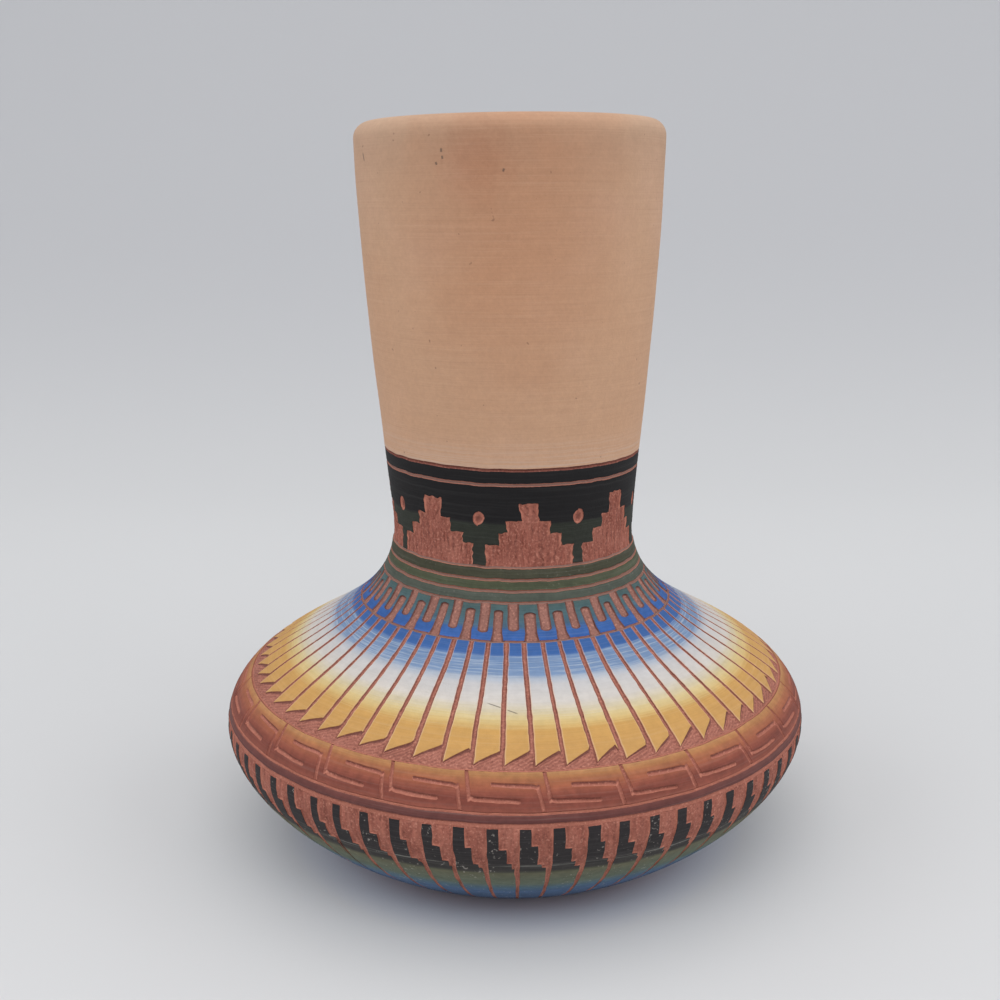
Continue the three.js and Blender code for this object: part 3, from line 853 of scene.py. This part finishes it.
BODY_COLUMNS = 360
BODY_GAP = 1.2
BODY_END = END_ARC - 0.6
WALL_GAP = 1.5
WALL_START_ABOVE_FLOOR = 1.2
FOOT_ROWS = (0.9, 2.0, 3.6)
BODY_ROUGHNESS = 0.02
STEP_WIDTH = 0.01
THROWING_HEIGHT = 0.12
THROWING_PACE = 2.1
FLOOR_REACH = FOOT_RADIUS - 3
LINES = (
    (PANEL_TOP, MAROON_BASE), (MAROON_TOP, KEY_BASE), (KEY_TOP, FEATHER_BASE), (FEATHER_TOP, FRET_BASE),
    (FRET_TOP, LOWER_GREEN_BASE), (LOWER_GREEN_TOP, MIDDLE_GREEN_BASE),
    (MIDDLE_GREEN_TOP, UPPER_GREEN_BASE), (UPPER_GREEN_TOP, TERRACE_BASE),
    (TERRACE_TOP, COLLAR_BASE), (COLLAR_TOP, NECK_BASE),
)


def clay_body():
    """The hollow body. It rises between the coats as the floor of each etched line."""
    edge = CUT_SLOPE + LINE_GAP
    arcs = [*FOOT_ROWS, PANEL_BASE - edge, PANEL_BASE - edge + STEP_WIDTH]
    lifts = [0] * (len(arcs) - 1) + [-SEAT]
    rims = [0] * len(arcs)
    last = arcs[-1]
    for low, high in LINES:
        inner = filled([last, low + edge], BODY_GAP)[1:-1]
        arcs += [*inner, low + edge, low + edge + STEP_WIDTH, high - edge - STEP_WIDTH, high - edge]
        lifts += [-SEAT] * len(inner) + [-SEAT, -LINE_DEPTH, -LINE_DEPTH, -SEAT]
        rims += [0] * len(inner) + [line_rim(low)] * 4
        last = high - edge
    inner = filled([last, RIM_ARC, LIP_ARC, INSIDE_ARC, BODY_END], BODY_GAP)[1:]
    arcs += [*inner]
    lifts += [-SEAT] * len(inner)
    rims += [0] * len(inner)
    angles, arcs = grid(round_vase(BODY_COLUMNS), np.array(arcs))
    lifts = np.broadcast_to(np.array(lifts), arcs.shape)
    rise = wander(angles, arcs)[1]
    carved = (lifts > -SEAT) & (arcs > FOOT_MARGIN)
    rough = np.where(carved, BODY_ROUGHNESS * cross_relief(angles, arcs), 0)
    outside = place(angles, arcs + rise, lifts + rough)

    # Inner wall with the marks of throwing, floor and foot, as radius and height
    inner_arcs = filled([FOOT_MARGIN * 2.2, BELLY_ARC, WAIST_ARC, RIM_ARC - 4], WALL_GAP)[::-1]
    inner_wall = place(90, inner_arcs, -WALL) / MM
    lowest = FLOOR + WALL_START_ABOVE_FLOOR
    wall = [(radius, height) for radius, _, height in inner_wall if height > lowest]
    throwing = THROWING_HEIGHT * np.sin(np.arange(len(wall)) * THROWING_PACE)
    mouth = RIM_RADIUS - WALL
    end_height = VASE_HEIGHT - INNER_LIP - SLIP_INSIDE_MOUTH
    profile = [(mouth + 0.2, end_height + 0.7), (mouth, end_height - 0.2)]
    profile += [(radius + wave, height) for (radius, height), wave in zip(wall, throwing)]
    profile += [(share * FLOOR_REACH, FLOOR) for share in (1, 0.75, 0.5, 0.25, 0.04)]
    foot = [(share * FOOT_RADIUS, 0) for share in (0.04, 0.3, 0.6, 0.9)] + [(FOOT_RADIUS - 0.3, 0)]
    turn = np.radians(round_vase(BODY_COLUMNS))[:, None]

    def turned(points):
        radius, height = np.array(points).T
        flat = np.broadcast_to(height, (BODY_COLUMNS, len(points)))
        return np.stack((radius * np.sin(turn), -radius * np.cos(turn), flat), axis=-1) * MM

    points = np.concatenate((turned(foot), outside, turned(profile)), axis=1)
    rows = points.shape[1]
    faces = ring_quads(BODY_COLUMNS, rows, closed=False).tolist()
    index = np.arange(BODY_COLUMNS * rows).reshape(BODY_COLUMNS, rows)
    faces += [index[::-1, 0].tolist(), index[:, -1].tolist()]
    bare = np.zeros((BODY_COLUMNS, rows))
    all_rims = bare.copy()
    all_rims[:, len(foot):len(foot) + arcs.shape[1]] = rims
    return mesh_object("clay_body_looks", points, faces, arc=bare, slip=bare, rim=all_rims)


# Materials. A layer is laid where a value goes from one level to the other, up to a share of the colour.
CLAY = (150, 88, 73)
CLAY_DARK = (136, 77, 63)
CLAY_LIGHT = (161, 99, 83)
CLAY_GRAIN = (204, 143, 122)
# Along the cuts the pale colour is pale clay and painted highlight, and the shade colour is painted shade;
# the shade colour is also the dark grit
CLAY_PALE_AND_HIGHLIGHT = (197, 128, 106)
CLAY_SHADE = (86, 47, 40)
CLAY_DUST = (139, 111, 101)
EDGE_HIGHLIGHT = (222, 188, 158)
SCRATCH = (70, 62, 56)
BLOTCH_TONES = ((0.3, CLAY_DARK), (0.5, CLAY), (0.72, CLAY_LIGHT))
BLOTCH_SIZE = 5.0
GRIT_SIZE = 0.42
GRAIN_SIZE = 0.35
RAGGED_SIZE = 0.5
RAGGED = 0.35
STROKE_SIZES = (0.55, 12)
SLIP_EDGE = (0.62, 0.8)
BUMP_DISTANCE = 0.0002


def linear(red, green, blue):
    """A colour given in display values of 0 to 255, as the shader takes it."""
    values = np.array([red, green, blue]) / 255
    return (*np.where(values > 0.04045, ((values + 0.055) / 1.055) ** 2.4, values / 12.92), 1.0)


class Nodes:
    """A material, with short names for the nodes that it is mixed from."""

    def __init__(self, name):
        self.material = bpy.data.materials.new(name)
        self.material.use_nodes = True
        self.tree = self.material.node_tree
        self.shader = self.tree.nodes["Principled BSDF"]
        self.where = self.node("ShaderNodeTexCoord").outputs["Object"]

    def node(self, kind, **settings):
        node = self.tree.nodes.new(kind)
        for key, value in settings.items():
            setattr(node, key, value)
        return node

    def put(self, socket, value):
        if isinstance(value, bpy.types.NodeSocket):
            self.tree.links.new(value, socket)
        else:
            socket.default_value = value

    def reckon(self, operation, first, second=0.0):
        node = self.node("ShaderNodeMath", operation=operation)
        self.put(node.inputs[0], first)
        self.put(node.inputs[1], second)
        return node.outputs[0]

    def vector(self, operation, first, second=(0, 0, 0), output="Vector"):
        node = self.node("ShaderNodeVectorMath", operation=operation)
        self.put(node.inputs[0], first)
        self.put(node.inputs[1], second)
        return node.outputs[output]

    def between(self, value, low, high, from_value=0.0, to_value=1.0, easing="LINEAR"):
        node = self.node("ShaderNodeMapRange", clamp=True, interpolation_type=easing)
        settings = (value, low, high, from_value, to_value)
        for key, setting in zip(("Value", "From Min", "From Max", "To Min", "To Max"), settings):
            self.put(node.inputs[key], setting)
        return node.outputs["Result"]

    def mix(self, share, first, second):
        node = self.node("ShaderNodeMix", data_type="RGBA")
        self.put(node.inputs[0], share)
        self.put(node.inputs[6], first)
        self.put(node.inputs[7], second)
        return node.outputs[2]


class Recipe(Nodes):
    """The material of a piece, mixed from its attributes and from noise."""

    def __init__(self, name):
        super().__init__(name)
        self.arc, self.slip, self.rim = map(self.attribute, ("arc", "slip", "rim"))

    def attribute(self, name):
        return self.node("ShaderNodeAttribute", attribute_name=name).outputs["Fac"]

    def spot(self, across, along):
        """Noise coordinates, stretched round the vase and squeezed along its outline."""
        rise = self.node("ShaderNodeCombineXYZ")
        self.put(rise.inputs[2], self.reckon("DIVIDE", self.arc, along))
        flat = self.vector("MULTIPLY", self.where, (1 / (across * MM), 1 / (across * MM), 0))
        return self.vector("ADD", flat, rise.outputs[0])

    def even_spot(self, size):
        return self.vector("MULTIPLY", self.where, (1 / (size * MM),) * 3)

    def noise(self, spot, detail=3.0, roughness=0.55):
        node = self.node("ShaderNodeTexNoise")
        settings = {"Vector": spot, "Scale": 1.0, "Detail": detail, "Roughness": roughness}
        for key, setting in settings.items():
            self.put(node.inputs[key], setting)
        return node.outputs["Fac"]

    def drift(self, noise, height):
        """The noise about its middle, times a height."""
        return self.reckon("MULTIPLY", self.reckon("SUBTRACT", noise, 0.5), height)

    def laid(self, base, value, low, high, share, colour):
        """The base under a layer of another colour, in display values."""
        return self.mix(self.between(value, low, high, 0, share), base, linear(*colour))

    def toned(self, colour, noise, depth):
        """The colour made lighter and darker by a noise, in shares of itself."""
        return self.vector("MULTIPLY", colour, self.between(noise, 0.25, 0.75, 1 - depth, 1 + depth))

    def tinted(self, colour, tint, value, low, high, share=1.0):
        """The colour with part of each of its channels taken away."""
        darker = self.vector("MULTIPLY", colour, tint)
        return self.mix(self.between(value, low, high, 0, share), colour, darker)

    def reach(self, angle, arc, sizes, uneven_by):
        """Distance from a place on the surface in shares of a patch's sizes, with an uneven outline."""
        offset = self.vector("SUBTRACT", self.where, place(angle, arc, 0))
        scaled = self.vector("MULTIPLY", offset, [1 / (size * MM) for size in sizes])
        length = self.vector("LENGTH", scaled, output="Value")
        outline = self.noise(self.even_spot(0.4 * min(sizes)), detail=2)
        return self.reckon("ADD", length, self.drift(outline, uneven_by))

    def ramp(self, value, stops, low=0.0, high=1.0):
        """Colours at places between low and high, in display values."""
        node = self.node("ShaderNodeValToRGB")
        elements = node.color_ramp.elements
        for number, (spot, colour) in enumerate(sorted(stops)):
            position = (spot - low) / (high - low)
            element = elements[number] if number < 2 else elements.new(position)
            element.position = position
            element.color = linear(*colour)
        self.put(node.inputs[0], self.between(value, low, high))
        return node.outputs[0]

    def scratch(self, colour, start, end, width):
        """A short dark scratch between two places on the surface."""
        start, end = Vector(place(*start, 0)), Vector(place(*end, 0))
        along = (end - start).normalized()
        middle = (end - start).length / 2
        offset = self.vector("SUBTRACT", self.where, start)
        aside = self.vector("LENGTH", self.vector("CROSS_PRODUCT", offset, along), output="Value")
        reach = self.vector("DOT_PRODUCT", offset, along, output="Value")
        from_middle = self.reckon("ABSOLUTE", self.reckon("SUBTRACT", reach, middle))
        close = self.between(aside, width * MM, 0.3 * width * MM)
        inside = self.between(from_middle, middle, 0.6 * middle, 0, 0.7)
        return self.mix(self.reckon("MULTIPLY", close, inside), colour, linear(*SCRATCH))

    def clay(self, dusty=0.0, stroked=0.0):
        """Raw red clay: mottled, gritty, paler along the cut edges as pale clay and painted highlight, and
        darker in the cuts as painted shade.
        Dusty is its share of pale dust, and stroked how much lighter and darker the strokes of the blade
        along the outline are."""
        grit = self.noise(self.even_spot(GRIT_SIZE), detail=2)
        base = self.ramp(self.noise(self.even_spot(BLOTCH_SIZE)), BLOTCH_TONES)
        base = self.mix(dusty, base, linear(*CLAY_DUST))
        if stroked:
            base = self.toned(base, self.noise(self.spot(*STROKE_SIZES), detail=2), stroked)
        layers = (
            (grit, 0.56, 0.68, 0.5, CLAY_GRAIN), (grit, 0.44, 0.32, 0.45, CLAY_SHADE),
            (self.rim, 0.1, 0.9, 0.75, CLAY_PALE_AND_HIGHLIGHT), (self.rim, 1.0, 2.0, 0.9, CLAY_DUST),
            (self.rim, -0.1, -0.9, 0.8, CLAY_SHADE),
        )
        for layer in layers:
            base = self.laid(base, *layer)
        return base

    def finish(self, colour, roughness=0.8, grain=0.25, specular=0.3, dusty=0.0, stroked=0.0):
        """Joins slip and clay along a slightly ragged edge, and adds a fine matte grain."""
        ragged = self.drift(self.noise(self.even_spot(RAGGED_SIZE), detail=2), RAGGED)
        share = self.between(self.reckon("ADD", self.slip, ragged), *SLIP_EDGE)
        self.put(self.shader.inputs["Base Color"], self.mix(share, self.clay(dusty, stroked), colour))
        self.shader.inputs["Roughness"].default_value = roughness
        self.shader.inputs["Specular IOR Level"].default_value = specular
        bump = self.node("ShaderNodeBump")
        bump.inputs["Strength"].default_value = grain
        bump.inputs["Distance"].default_value = BUMP_DISTANCE
        self.put(bump.inputs["Height"], self.noise(self.even_spot(GRAIN_SIZE), detail=3))
        self.put(self.shader.inputs["Normal"], bump.outputs["Normal"])
        return self.material


def clay_material():
    recipe = Recipe("red_clay")
    return recipe.finish(recipe.clay(), roughness=0.88)


# Tan slip of the neck: colours by arc length, and nicks as start, end and width
NECK_COLOURS = (
    (116.0, (195, 154, 124)), (124.0, (190, 149, 118)), (150.0, (190, 149, 118)),
    (170.0, (185, 147, 118)), (177.0, (179, 143, 116)), (180.0, (182, 148, 121)), (184.0, (195, 161, 134)),
)
NECK_ARCS = (115, 190)
NECK_MARKS = (
    ((-23.2, 176.4), (-23.2, 175.6), 0.3), ((-23.0, 175.1), (-22.8, 174.4), 0.28),
    ((-25.4, 174.0), (-25.0, 173.4), 0.3), ((-64.2, 176.4), (-63.0, 174.6), 0.3),
    ((-1.8, 172.7), (-2.3, 172.0), 0.3), ((-71.0, 184.2), (-67.5, 183.7), 0.5),
)
NECK_ROSY = (196, 156, 130)
NECK_DEEP = (188, 144, 112)
NECK_PALE = (208, 174, 146)
NECK_BROWN = (156, 116, 90)
NECK_DRY = (190, 165, 148)
NECK_SPECK = (112, 80, 64)

# Painted shade on the front of the neck, and one darker patch: angle, arc length, sizes and unevenness of
# each, and its tint
FRONT_SHADE = (1.5, 172, (24, 40, 45), 0.2)
FRONT_SHADE_TINT = (0.94, 0.82, 0.75)
TIDE_TINT = (0.95, 0.92, 0.9)
PATCH = (-11, 174, (7, 20, 8), 0.9)
PATCH_TINT = (0.9, 0.8, 0.76)


def tan_material():
    recipe = Recipe("tan_slip")
    streaks = recipe.noise(recipe.spot(22, 0.22))
    broad = recipe.noise(recipe.even_spot(24.0))
    base = recipe.ramp(recipe.arc, NECK_COLOURS, *NECK_ARCS)
    base = recipe.laid(base, broad, 0.52, 0.7, 0.35, NECK_ROSY)
    base = recipe.laid(base, broad, 0.48, 0.3, 0.4, NECK_DEEP)

    # The front of the neck is darker as painted shade, with a faint tide mark near its edge and one darker
    # patch
    front_shade = recipe.reach(*FRONT_SHADE)
    base = recipe.tinted(base, FRONT_SHADE_TINT, front_shade, 1.1, 0.25)
    base = recipe.tinted(base, TIDE_TINT, front_shade, 0.88, 0.82, 0.3)
    base = recipe.tinted(base, PATCH_TINT, recipe.reach(*PATCH), 1.2, 0.3, 0.7)
    base = recipe.toned(base, recipe.noise(recipe.even_spot(2.4)), 0.035)
    base = recipe.toned(base, recipe.noise(recipe.even_spot(0.7), detail=2), 0.045)
    base = recipe.laid(base, streaks, 0.52, 0.7, 0.12, NECK_PALE)
    base = recipe.laid(base, streaks, 0.46, 0.3, 0.14, NECK_BROWN)

    # Dry brush marks close above the collar
    low_down = recipe.between(recipe.arc, 123, 117, 0, 0.5)
    dry = recipe.reckon("MULTIPLY", low_down, recipe.between(streaks, 0.46, 0.6))
    base = recipe.mix(dry, base, linear(*NECK_DRY))
    base = recipe.laid(base, recipe.noise(recipe.even_spot(1.3), detail=1), 0.77, 0.8, 0.5, NECK_SPECK)
    for start, end, width in NECK_MARKS:
        base = recipe.scratch(base, start, end, width)
    return recipe.finish(base, grain=0.2, specular=0.4)


STREAK_PALE = (225, 222, 214)
STREAK_DARK = (20, 18, 18)
SPECKS = (176, 168, 158)
SCRATCH_WIDTH = 0.17


def banded_material(name, stops, wobble=0.5, slant=0.0, streaked=0.05, speckled=0.0, mottled=0.16,
                    dusty=0.0, stroked=0.0, brushed=None, brush_tone=(176, 185, 196), scratches=(),
                    edge_highlight=0.0):
    """Slip laid on the turning vase: its colour follows the arc length, with streaks of the brush.
    Slant is how many millimetres lower the colours lie on the right than in the middle.
    Brushed names a stretch of arc lengths where a dry brush left pale streaks on the colour.
    Edge highlight is the share of a cream painted highlight on the slip beside a groove, where rim is above
    0."""
    recipe = Recipe(name)
    streaks = recipe.noise(recipe.spot(30, 0.3), detail=4)
    drift = recipe.noise(recipe.spot(24, 8), detail=2)
    offset = recipe.reckon("ADD", recipe.drift(streaks, 2 * wobble), recipe.drift(drift, 2 * wobble))
    sides = recipe.node("ShaderNodeSeparateXYZ")
    recipe.put(sides.inputs[0], recipe.where)
    slanted = recipe.reckon("MULTIPLY", sides.outputs[0], slant / (BELLY_RADIUS * MM))
    places = recipe.reckon("ADD", recipe.arc, recipe.reckon("ADD", offset, slanted))
    spots = [spot for spot, _ in stops]
    colour = recipe.ramp(places, stops, min(spots) - 0.5, max(spots) + 0.5)
    if brushed:
        low, high = brushed
        above = recipe.between(places, low, low + 1)
        inside = recipe.reckon("MULTIPLY", above, recipe.between(places, high, high - 0.6))
        fine = recipe.noise(recipe.spot(16, 0.35), roughness=0.7)
        pale = recipe.reckon("MULTIPLY", inside, recipe.between(fine, 0.49, 0.62, 0, 0.58))
        colour = recipe.mix(pale, colour, linear(*brush_tone))
    colour = recipe.toned(colour, recipe.noise(recipe.even_spot(1.4)), mottled)
    colour = recipe.toned(colour, recipe.noise(recipe.spot(9, 2.0)), 0.75 * mottled)
    colour = recipe.laid(colour, streaks, 0.5, 0.72, streaked, STREAK_PALE)
    colour = recipe.laid(colour, streaks, 0.48, 0.3, streaked, STREAK_DARK)
    if speckled:
        specks = recipe.noise(recipe.even_spot(0.7), detail=2)
        clusters = recipe.drift(recipe.noise(recipe.even_spot(7.0), detail=1), 0.3)
        specks = recipe.reckon("ADD", specks, clusters)
        colour = recipe.laid(colour, specks, 0.67, 0.74, speckled, SPECKS)
    for start, end in scratches:
        colour = recipe.scratch(colour, start, end, SCRATCH_WIDTH)
    if edge_highlight:
        colour = recipe.laid(colour, recipe.rim, 0.1, 1, edge_highlight, EDGE_HIGHLIGHT)
    return recipe.finish(colour, dusty=dusty, stroked=stroked)


# Colours of the bands by arc length, and the scratch across two feathers
SCRATCHES = (((-6.5, 66.8), (-2.6, 65.6)), ((-1.8, 65.3), (0.9, 64.3)))
FEATHER_COLOURS = (
    (52.0, (190, 144, 86)), (58.0, (192, 146, 83)), (60.4, (194, 149, 84)), (62.0, (203, 172, 112)),
    (63.4, (205, 183, 132)), (65.0, (202, 188, 158)), (67.0, (201, 193, 184)), (71.0, (191, 188, 187)),
    (72.4, (168, 174, 184)), (73.6, (114, 137, 169)), (76.6, (103, 128, 163)), (77.6, (108, 133, 168)),
    (78.3, (55, 93, 150)), (81.0, (53, 90, 146)),
)
KEY_COLOURS = (
    (44.8, (142, 80, 64)), (46.0, (122, 64, 51)), (47.4, (117, 59, 47)), (48.5, (137, 74, 57)),
    (49.7, (152, 87, 61)), (50.8, (157, 97, 65)), (51.5, (166, 112, 70)), (52.6, (176, 128, 84)),
)
FRET_COLOURS = (
    (81.0, (48, 87, 151)), (83.4, (52, 90, 148)), (84.4, (68, 95, 116)), (86.2, (68, 94, 100)),
    (88.9, (66, 86, 84)),
)
# Below arc length 20 the blue darkens towards the foot as painted shade
PANEL_COLOURS = (
    (6.0, (40, 48, 66)), (14.0, (60, 82, 112)), (20.0, (70, 96, 130)), (23.0, (79, 105, 121)),
    (25.5, (94, 105, 90)), (30.6, (100, 99, 77)), (31.6, (56, 53, 50)), (34.5, (45, 41, 41)),
    (42.0, (40, 35, 36)),
)
COLLAR_COLOURS = ((113.0, (19, 17, 18)), (116.5, (21, 19, 20)))
TERRACE_COLOURS = ((96.0, (44, 45, 38)), (104.8, (40, 43, 35)), (105.3, (20, 18, 19)), (113.0, (19, 17, 18)))
MAROON_COLOURS = ((43.1, (85, 47, 44)), (43.8, (99, 55, 50)), (44.6, (109, 64, 58)))
GREEN_RINGS = (
    ("upper_green", UPPER_GREEN_BASE, UPPER_GREEN_TOP, (54, 53, 37)),
    ("middle_green", MIDDLE_GREEN_BASE, MIDDLE_GREEN_TOP, (65, 69, 48)),
    ("lower_green", LOWER_GREEN_BASE, LOWER_GREEN_TOP, (70, 75, 65)),
)


def green_rings():
    for name, base, top, colour in GREEN_RINGS:
        stops = ((89.0, colour), (96.5, tuple(value + 10 for value in colour)))
        material = banded_material(name, stops, wobble=0.8, speckled=0.1)
        yield plain_band(name + "_looks", base, top), name + "_ring", "green_slip", material


feather_slip = banded_material(
    "feather_slip", FEATHER_COLOURS, wobble=0.7, mottled=0.06, dusty=0.12, slant=0.7,
    brushed=(71.8, 78.2), scratches=SCRATCHES, edge_highlight=0.42,
)
panel_slip = banded_material(
    "panel_slip", PANEL_COLOURS, wobble=0.6, streaked=0.03, speckled=0.55, brushed=(32.6, 34.2),
    brush_tone=(146, 144, 136), stroked=0.22,
)

# Pieces: each stands for its node and rides with the one body
PIECES = (
    (clay_body(), "clay_body", "red_clay", clay_material()),
    (neck_slip(), "neck_slip", "tan_slip", tan_material()),
    (plain_band("black_collar_looks", COLLAR_BASE, COLLAR_TOP, 0.12), "black_collar_ring", "black_slip",
     banded_material("collar_slip", COLLAR_COLOURS, streaked=0.015)),
    (terrace_band(), "terrace_band", "black_slip",
     banded_material("black_slip", TERRACE_COLOURS, wobble=0.3, streaked=0.015, stroked=0.16)),
    *green_rings(),
    (fret_ribbon(), "fret_ribbon", "blue_slip",
     banded_material("blue_slip", FRET_COLOURS, wobble=0.4, dusty=0.45)),
    (feather_fan(), "feather_fan", "ochre_slip", feather_slip),
    (key_band(), "key_band", "russet_slip",
     banded_material("russet_slip", KEY_COLOURS, wobble=0.2, streaked=0.03)),
    (plain_band("maroon_ring_looks", MAROON_BASE, MAROON_TOP), "maroon_ring", "maroon_slip",
     banded_material("maroon_slip", MAROON_COLOURS, wobble=0.2)),
    (stepped_panels(), "stepped_panels", "black_slip", panel_slip),
)
for piece, node, slot, material in PIECES:
    piece.data.materials.append(material)
    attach(piece, "root")
    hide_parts(node)


# Floor and backdrop: one pale sweep, in metres
SWEEP_HALF_WIDTH = 2.2
SWEEP_FRONT = -1.4
SWEEP_BEND_START = 0.32
SWEEP_BEND_RADIUS = 0.75
SWEEP_BEND_STEPS = 24
SWEEP_TOP = 2.2
# The floor tone deepens to the wall tone as painted shade, and near the foot it is a painted bluish shadow
FLOOR_TONE = (210, 209, 208)
WALL_SHADE_TONE = (192, 191, 192)
FLOOR_TONE_END = 0.25
WALL_SHADE_TONE_START = 0.75
FOOT_SHADOW_TONE = (203, 208, 222)
FOOT_SHADOW_TONE_END = 0.040
PLAIN_FLOOR_START = 0.052


def pale_paper():
    """Pale paper, deeper in tone up the wall as painted shade, and with a painted bluish shadow close to the
    foot.
    """
    paper = Nodes("pale_paper")
    from_axis = paper.vector("LENGTH", paper.where, output="Value")
    clear = paper.between(from_axis, FOOT_SHADOW_TONE_END, PLAIN_FLOOR_START)
    floor = paper.mix(clear, linear(*FOOT_SHADOW_TONE), linear(*FLOOR_TONE))
    sides = paper.node("ShaderNodeSeparateXYZ")
    paper.put(sides.inputs[0], paper.where)
    back = paper.between(sides.outputs[1], FLOOR_TONE_END, WALL_SHADE_TONE_START, easing="SMOOTHSTEP")
    paper.put(paper.shader.inputs["Base Color"], paper.mix(back, floor, linear(*WALL_SHADE_TONE)))
    paper.shader.inputs["Roughness"].default_value = 0.7
    paper.shader.inputs["Specular IOR Level"].default_value = 0.2
    return paper.material


def sweep():
    profile = [(SWEEP_FRONT, 0.0)]
    for turn in np.radians(np.linspace(0, 90, SWEEP_BEND_STEPS + 1)):
        profile.append((SWEEP_BEND_START + SWEEP_BEND_RADIUS * math.sin(turn),
                        SWEEP_BEND_RADIUS * (1 - math.cos(turn))))
    profile.append((profile[-1][0], SWEEP_TOP))
    points = [(side * SWEEP_HALF_WIDTH, depth, height) for depth, height in profile for side in (-1, 1)]
    faces = [(low, low + 1, low + 3, low + 2) for low in range(0, len(points) - 2, 2)]
    backdrop = mesh_object("pale_sweep", np.array(points), faces)
    backdrop.data.materials.append(pale_paper())


# Soft lights: name, place and size in metres, power in watts and colour
LIGHT_TARGET = (0, 0, 0.07)
LIGHTS = (
    ("overhead", (0.0, 0.0, 1.3), (1.4, 1.4), 5.5, (1.0, 0.98, 0.94)),
    ("front", (0.0, -0.85, 1.1), (1.2, 0.6), 6.6, (0.975, 0.99, 1.03)),
    ("left", (-1.05, -0.6, 0.7), (0.9, 1.0), 5.4, (1, 1, 1)),
    ("right", (1.05, -0.6, 0.7), (0.9, 1.0), 5.9, (1, 1, 1)),
    ("left_behind", (-1.2, 0.25, 0.8), (0.9, 1.0), 3.3, (1, 1, 1)),
    ("right_behind", (1.2, 0.25, 0.8), (0.9, 1.0), 3.9, (1, 1, 1)),
)
WORLD_COLOUR = (0.76, 0.88, 1.05, 1)
WORLD_STRENGTH = 0.27


def lights():
    world = bpy.data.worlds.new("studio")
    world.use_nodes = True
    background = world.node_tree.nodes["Background"]
    background.inputs["Color"].default_value = WORLD_COLOUR
    background.inputs["Strength"].default_value = WORLD_STRENGTH
    bpy.context.scene.world = world
    for name, spot, size, power, colour in LIGHTS:
        light = bpy.data.lights.new(name, "AREA")
        light.shape = "RECTANGLE"
        light.size, light.size_y = size
        light.energy = power
        light.color = colour
        lamp = bpy.data.objects.new(name, light)
        lamp.location = spot
        lamp.rotation_euler = (Vector(LIGHT_TARGET) - Vector(spot)).to_track_quat("-Z", "Y").to_euler()
        bpy.context.scene.collection.objects.link(lamp)


# Camera at the photograph's place, in metres and radians
CAMERA_DISTANCE = 0.2592
CAMERA_HEIGHT = 0.1365
CAMERA_PITCH = math.radians(13.60)
CAMERA_YAW = math.radians(-0.60)
CAMERA_ROLL = 0.0107
CAMERA_LENS = 44.24
SENSOR = 36.0
NEAREST = 0.01
FARTHEST = 20


def camera():
    data = bpy.data.cameras.new("camera")
    data.lens = CAMERA_LENS
    data.sensor_width = SENSOR
    data.sensor_fit = "HORIZONTAL"
    data.clip_start = NEAREST
    data.clip_end = FARTHEST
    eye = bpy.data.objects.new("camera", data)
    bpy.context.scene.collection.objects.link(eye)
    bpy.context.scene.camera = eye
    forward = Vector((
        math.sin(CAMERA_YAW) * math.cos(CAMERA_PITCH),
        math.cos(CAMERA_YAW) * math.cos(CAMERA_PITCH),
        -math.sin(CAMERA_PITCH),
    ))
    right = Vector((math.cos(CAMERA_YAW), -math.sin(CAMERA_YAW), 0))
    down = forward.cross(right)
    rolled_right = math.cos(CAMERA_ROLL) * right + math.sin(CAMERA_ROLL) * down
    rolled_down = -math.sin(CAMERA_ROLL) * right + math.cos(CAMERA_ROLL) * down
    turn = Matrix((rolled_right, -rolled_down, -forward)).transposed()
    eye.matrix_world = Matrix.Translation((0, -CAMERA_DISTANCE, CAMERA_HEIGHT)) @ turn.to_4x4()


sweep()
lights()
camera()
bpy.context.scene.view_settings.view_transform = "Standard"
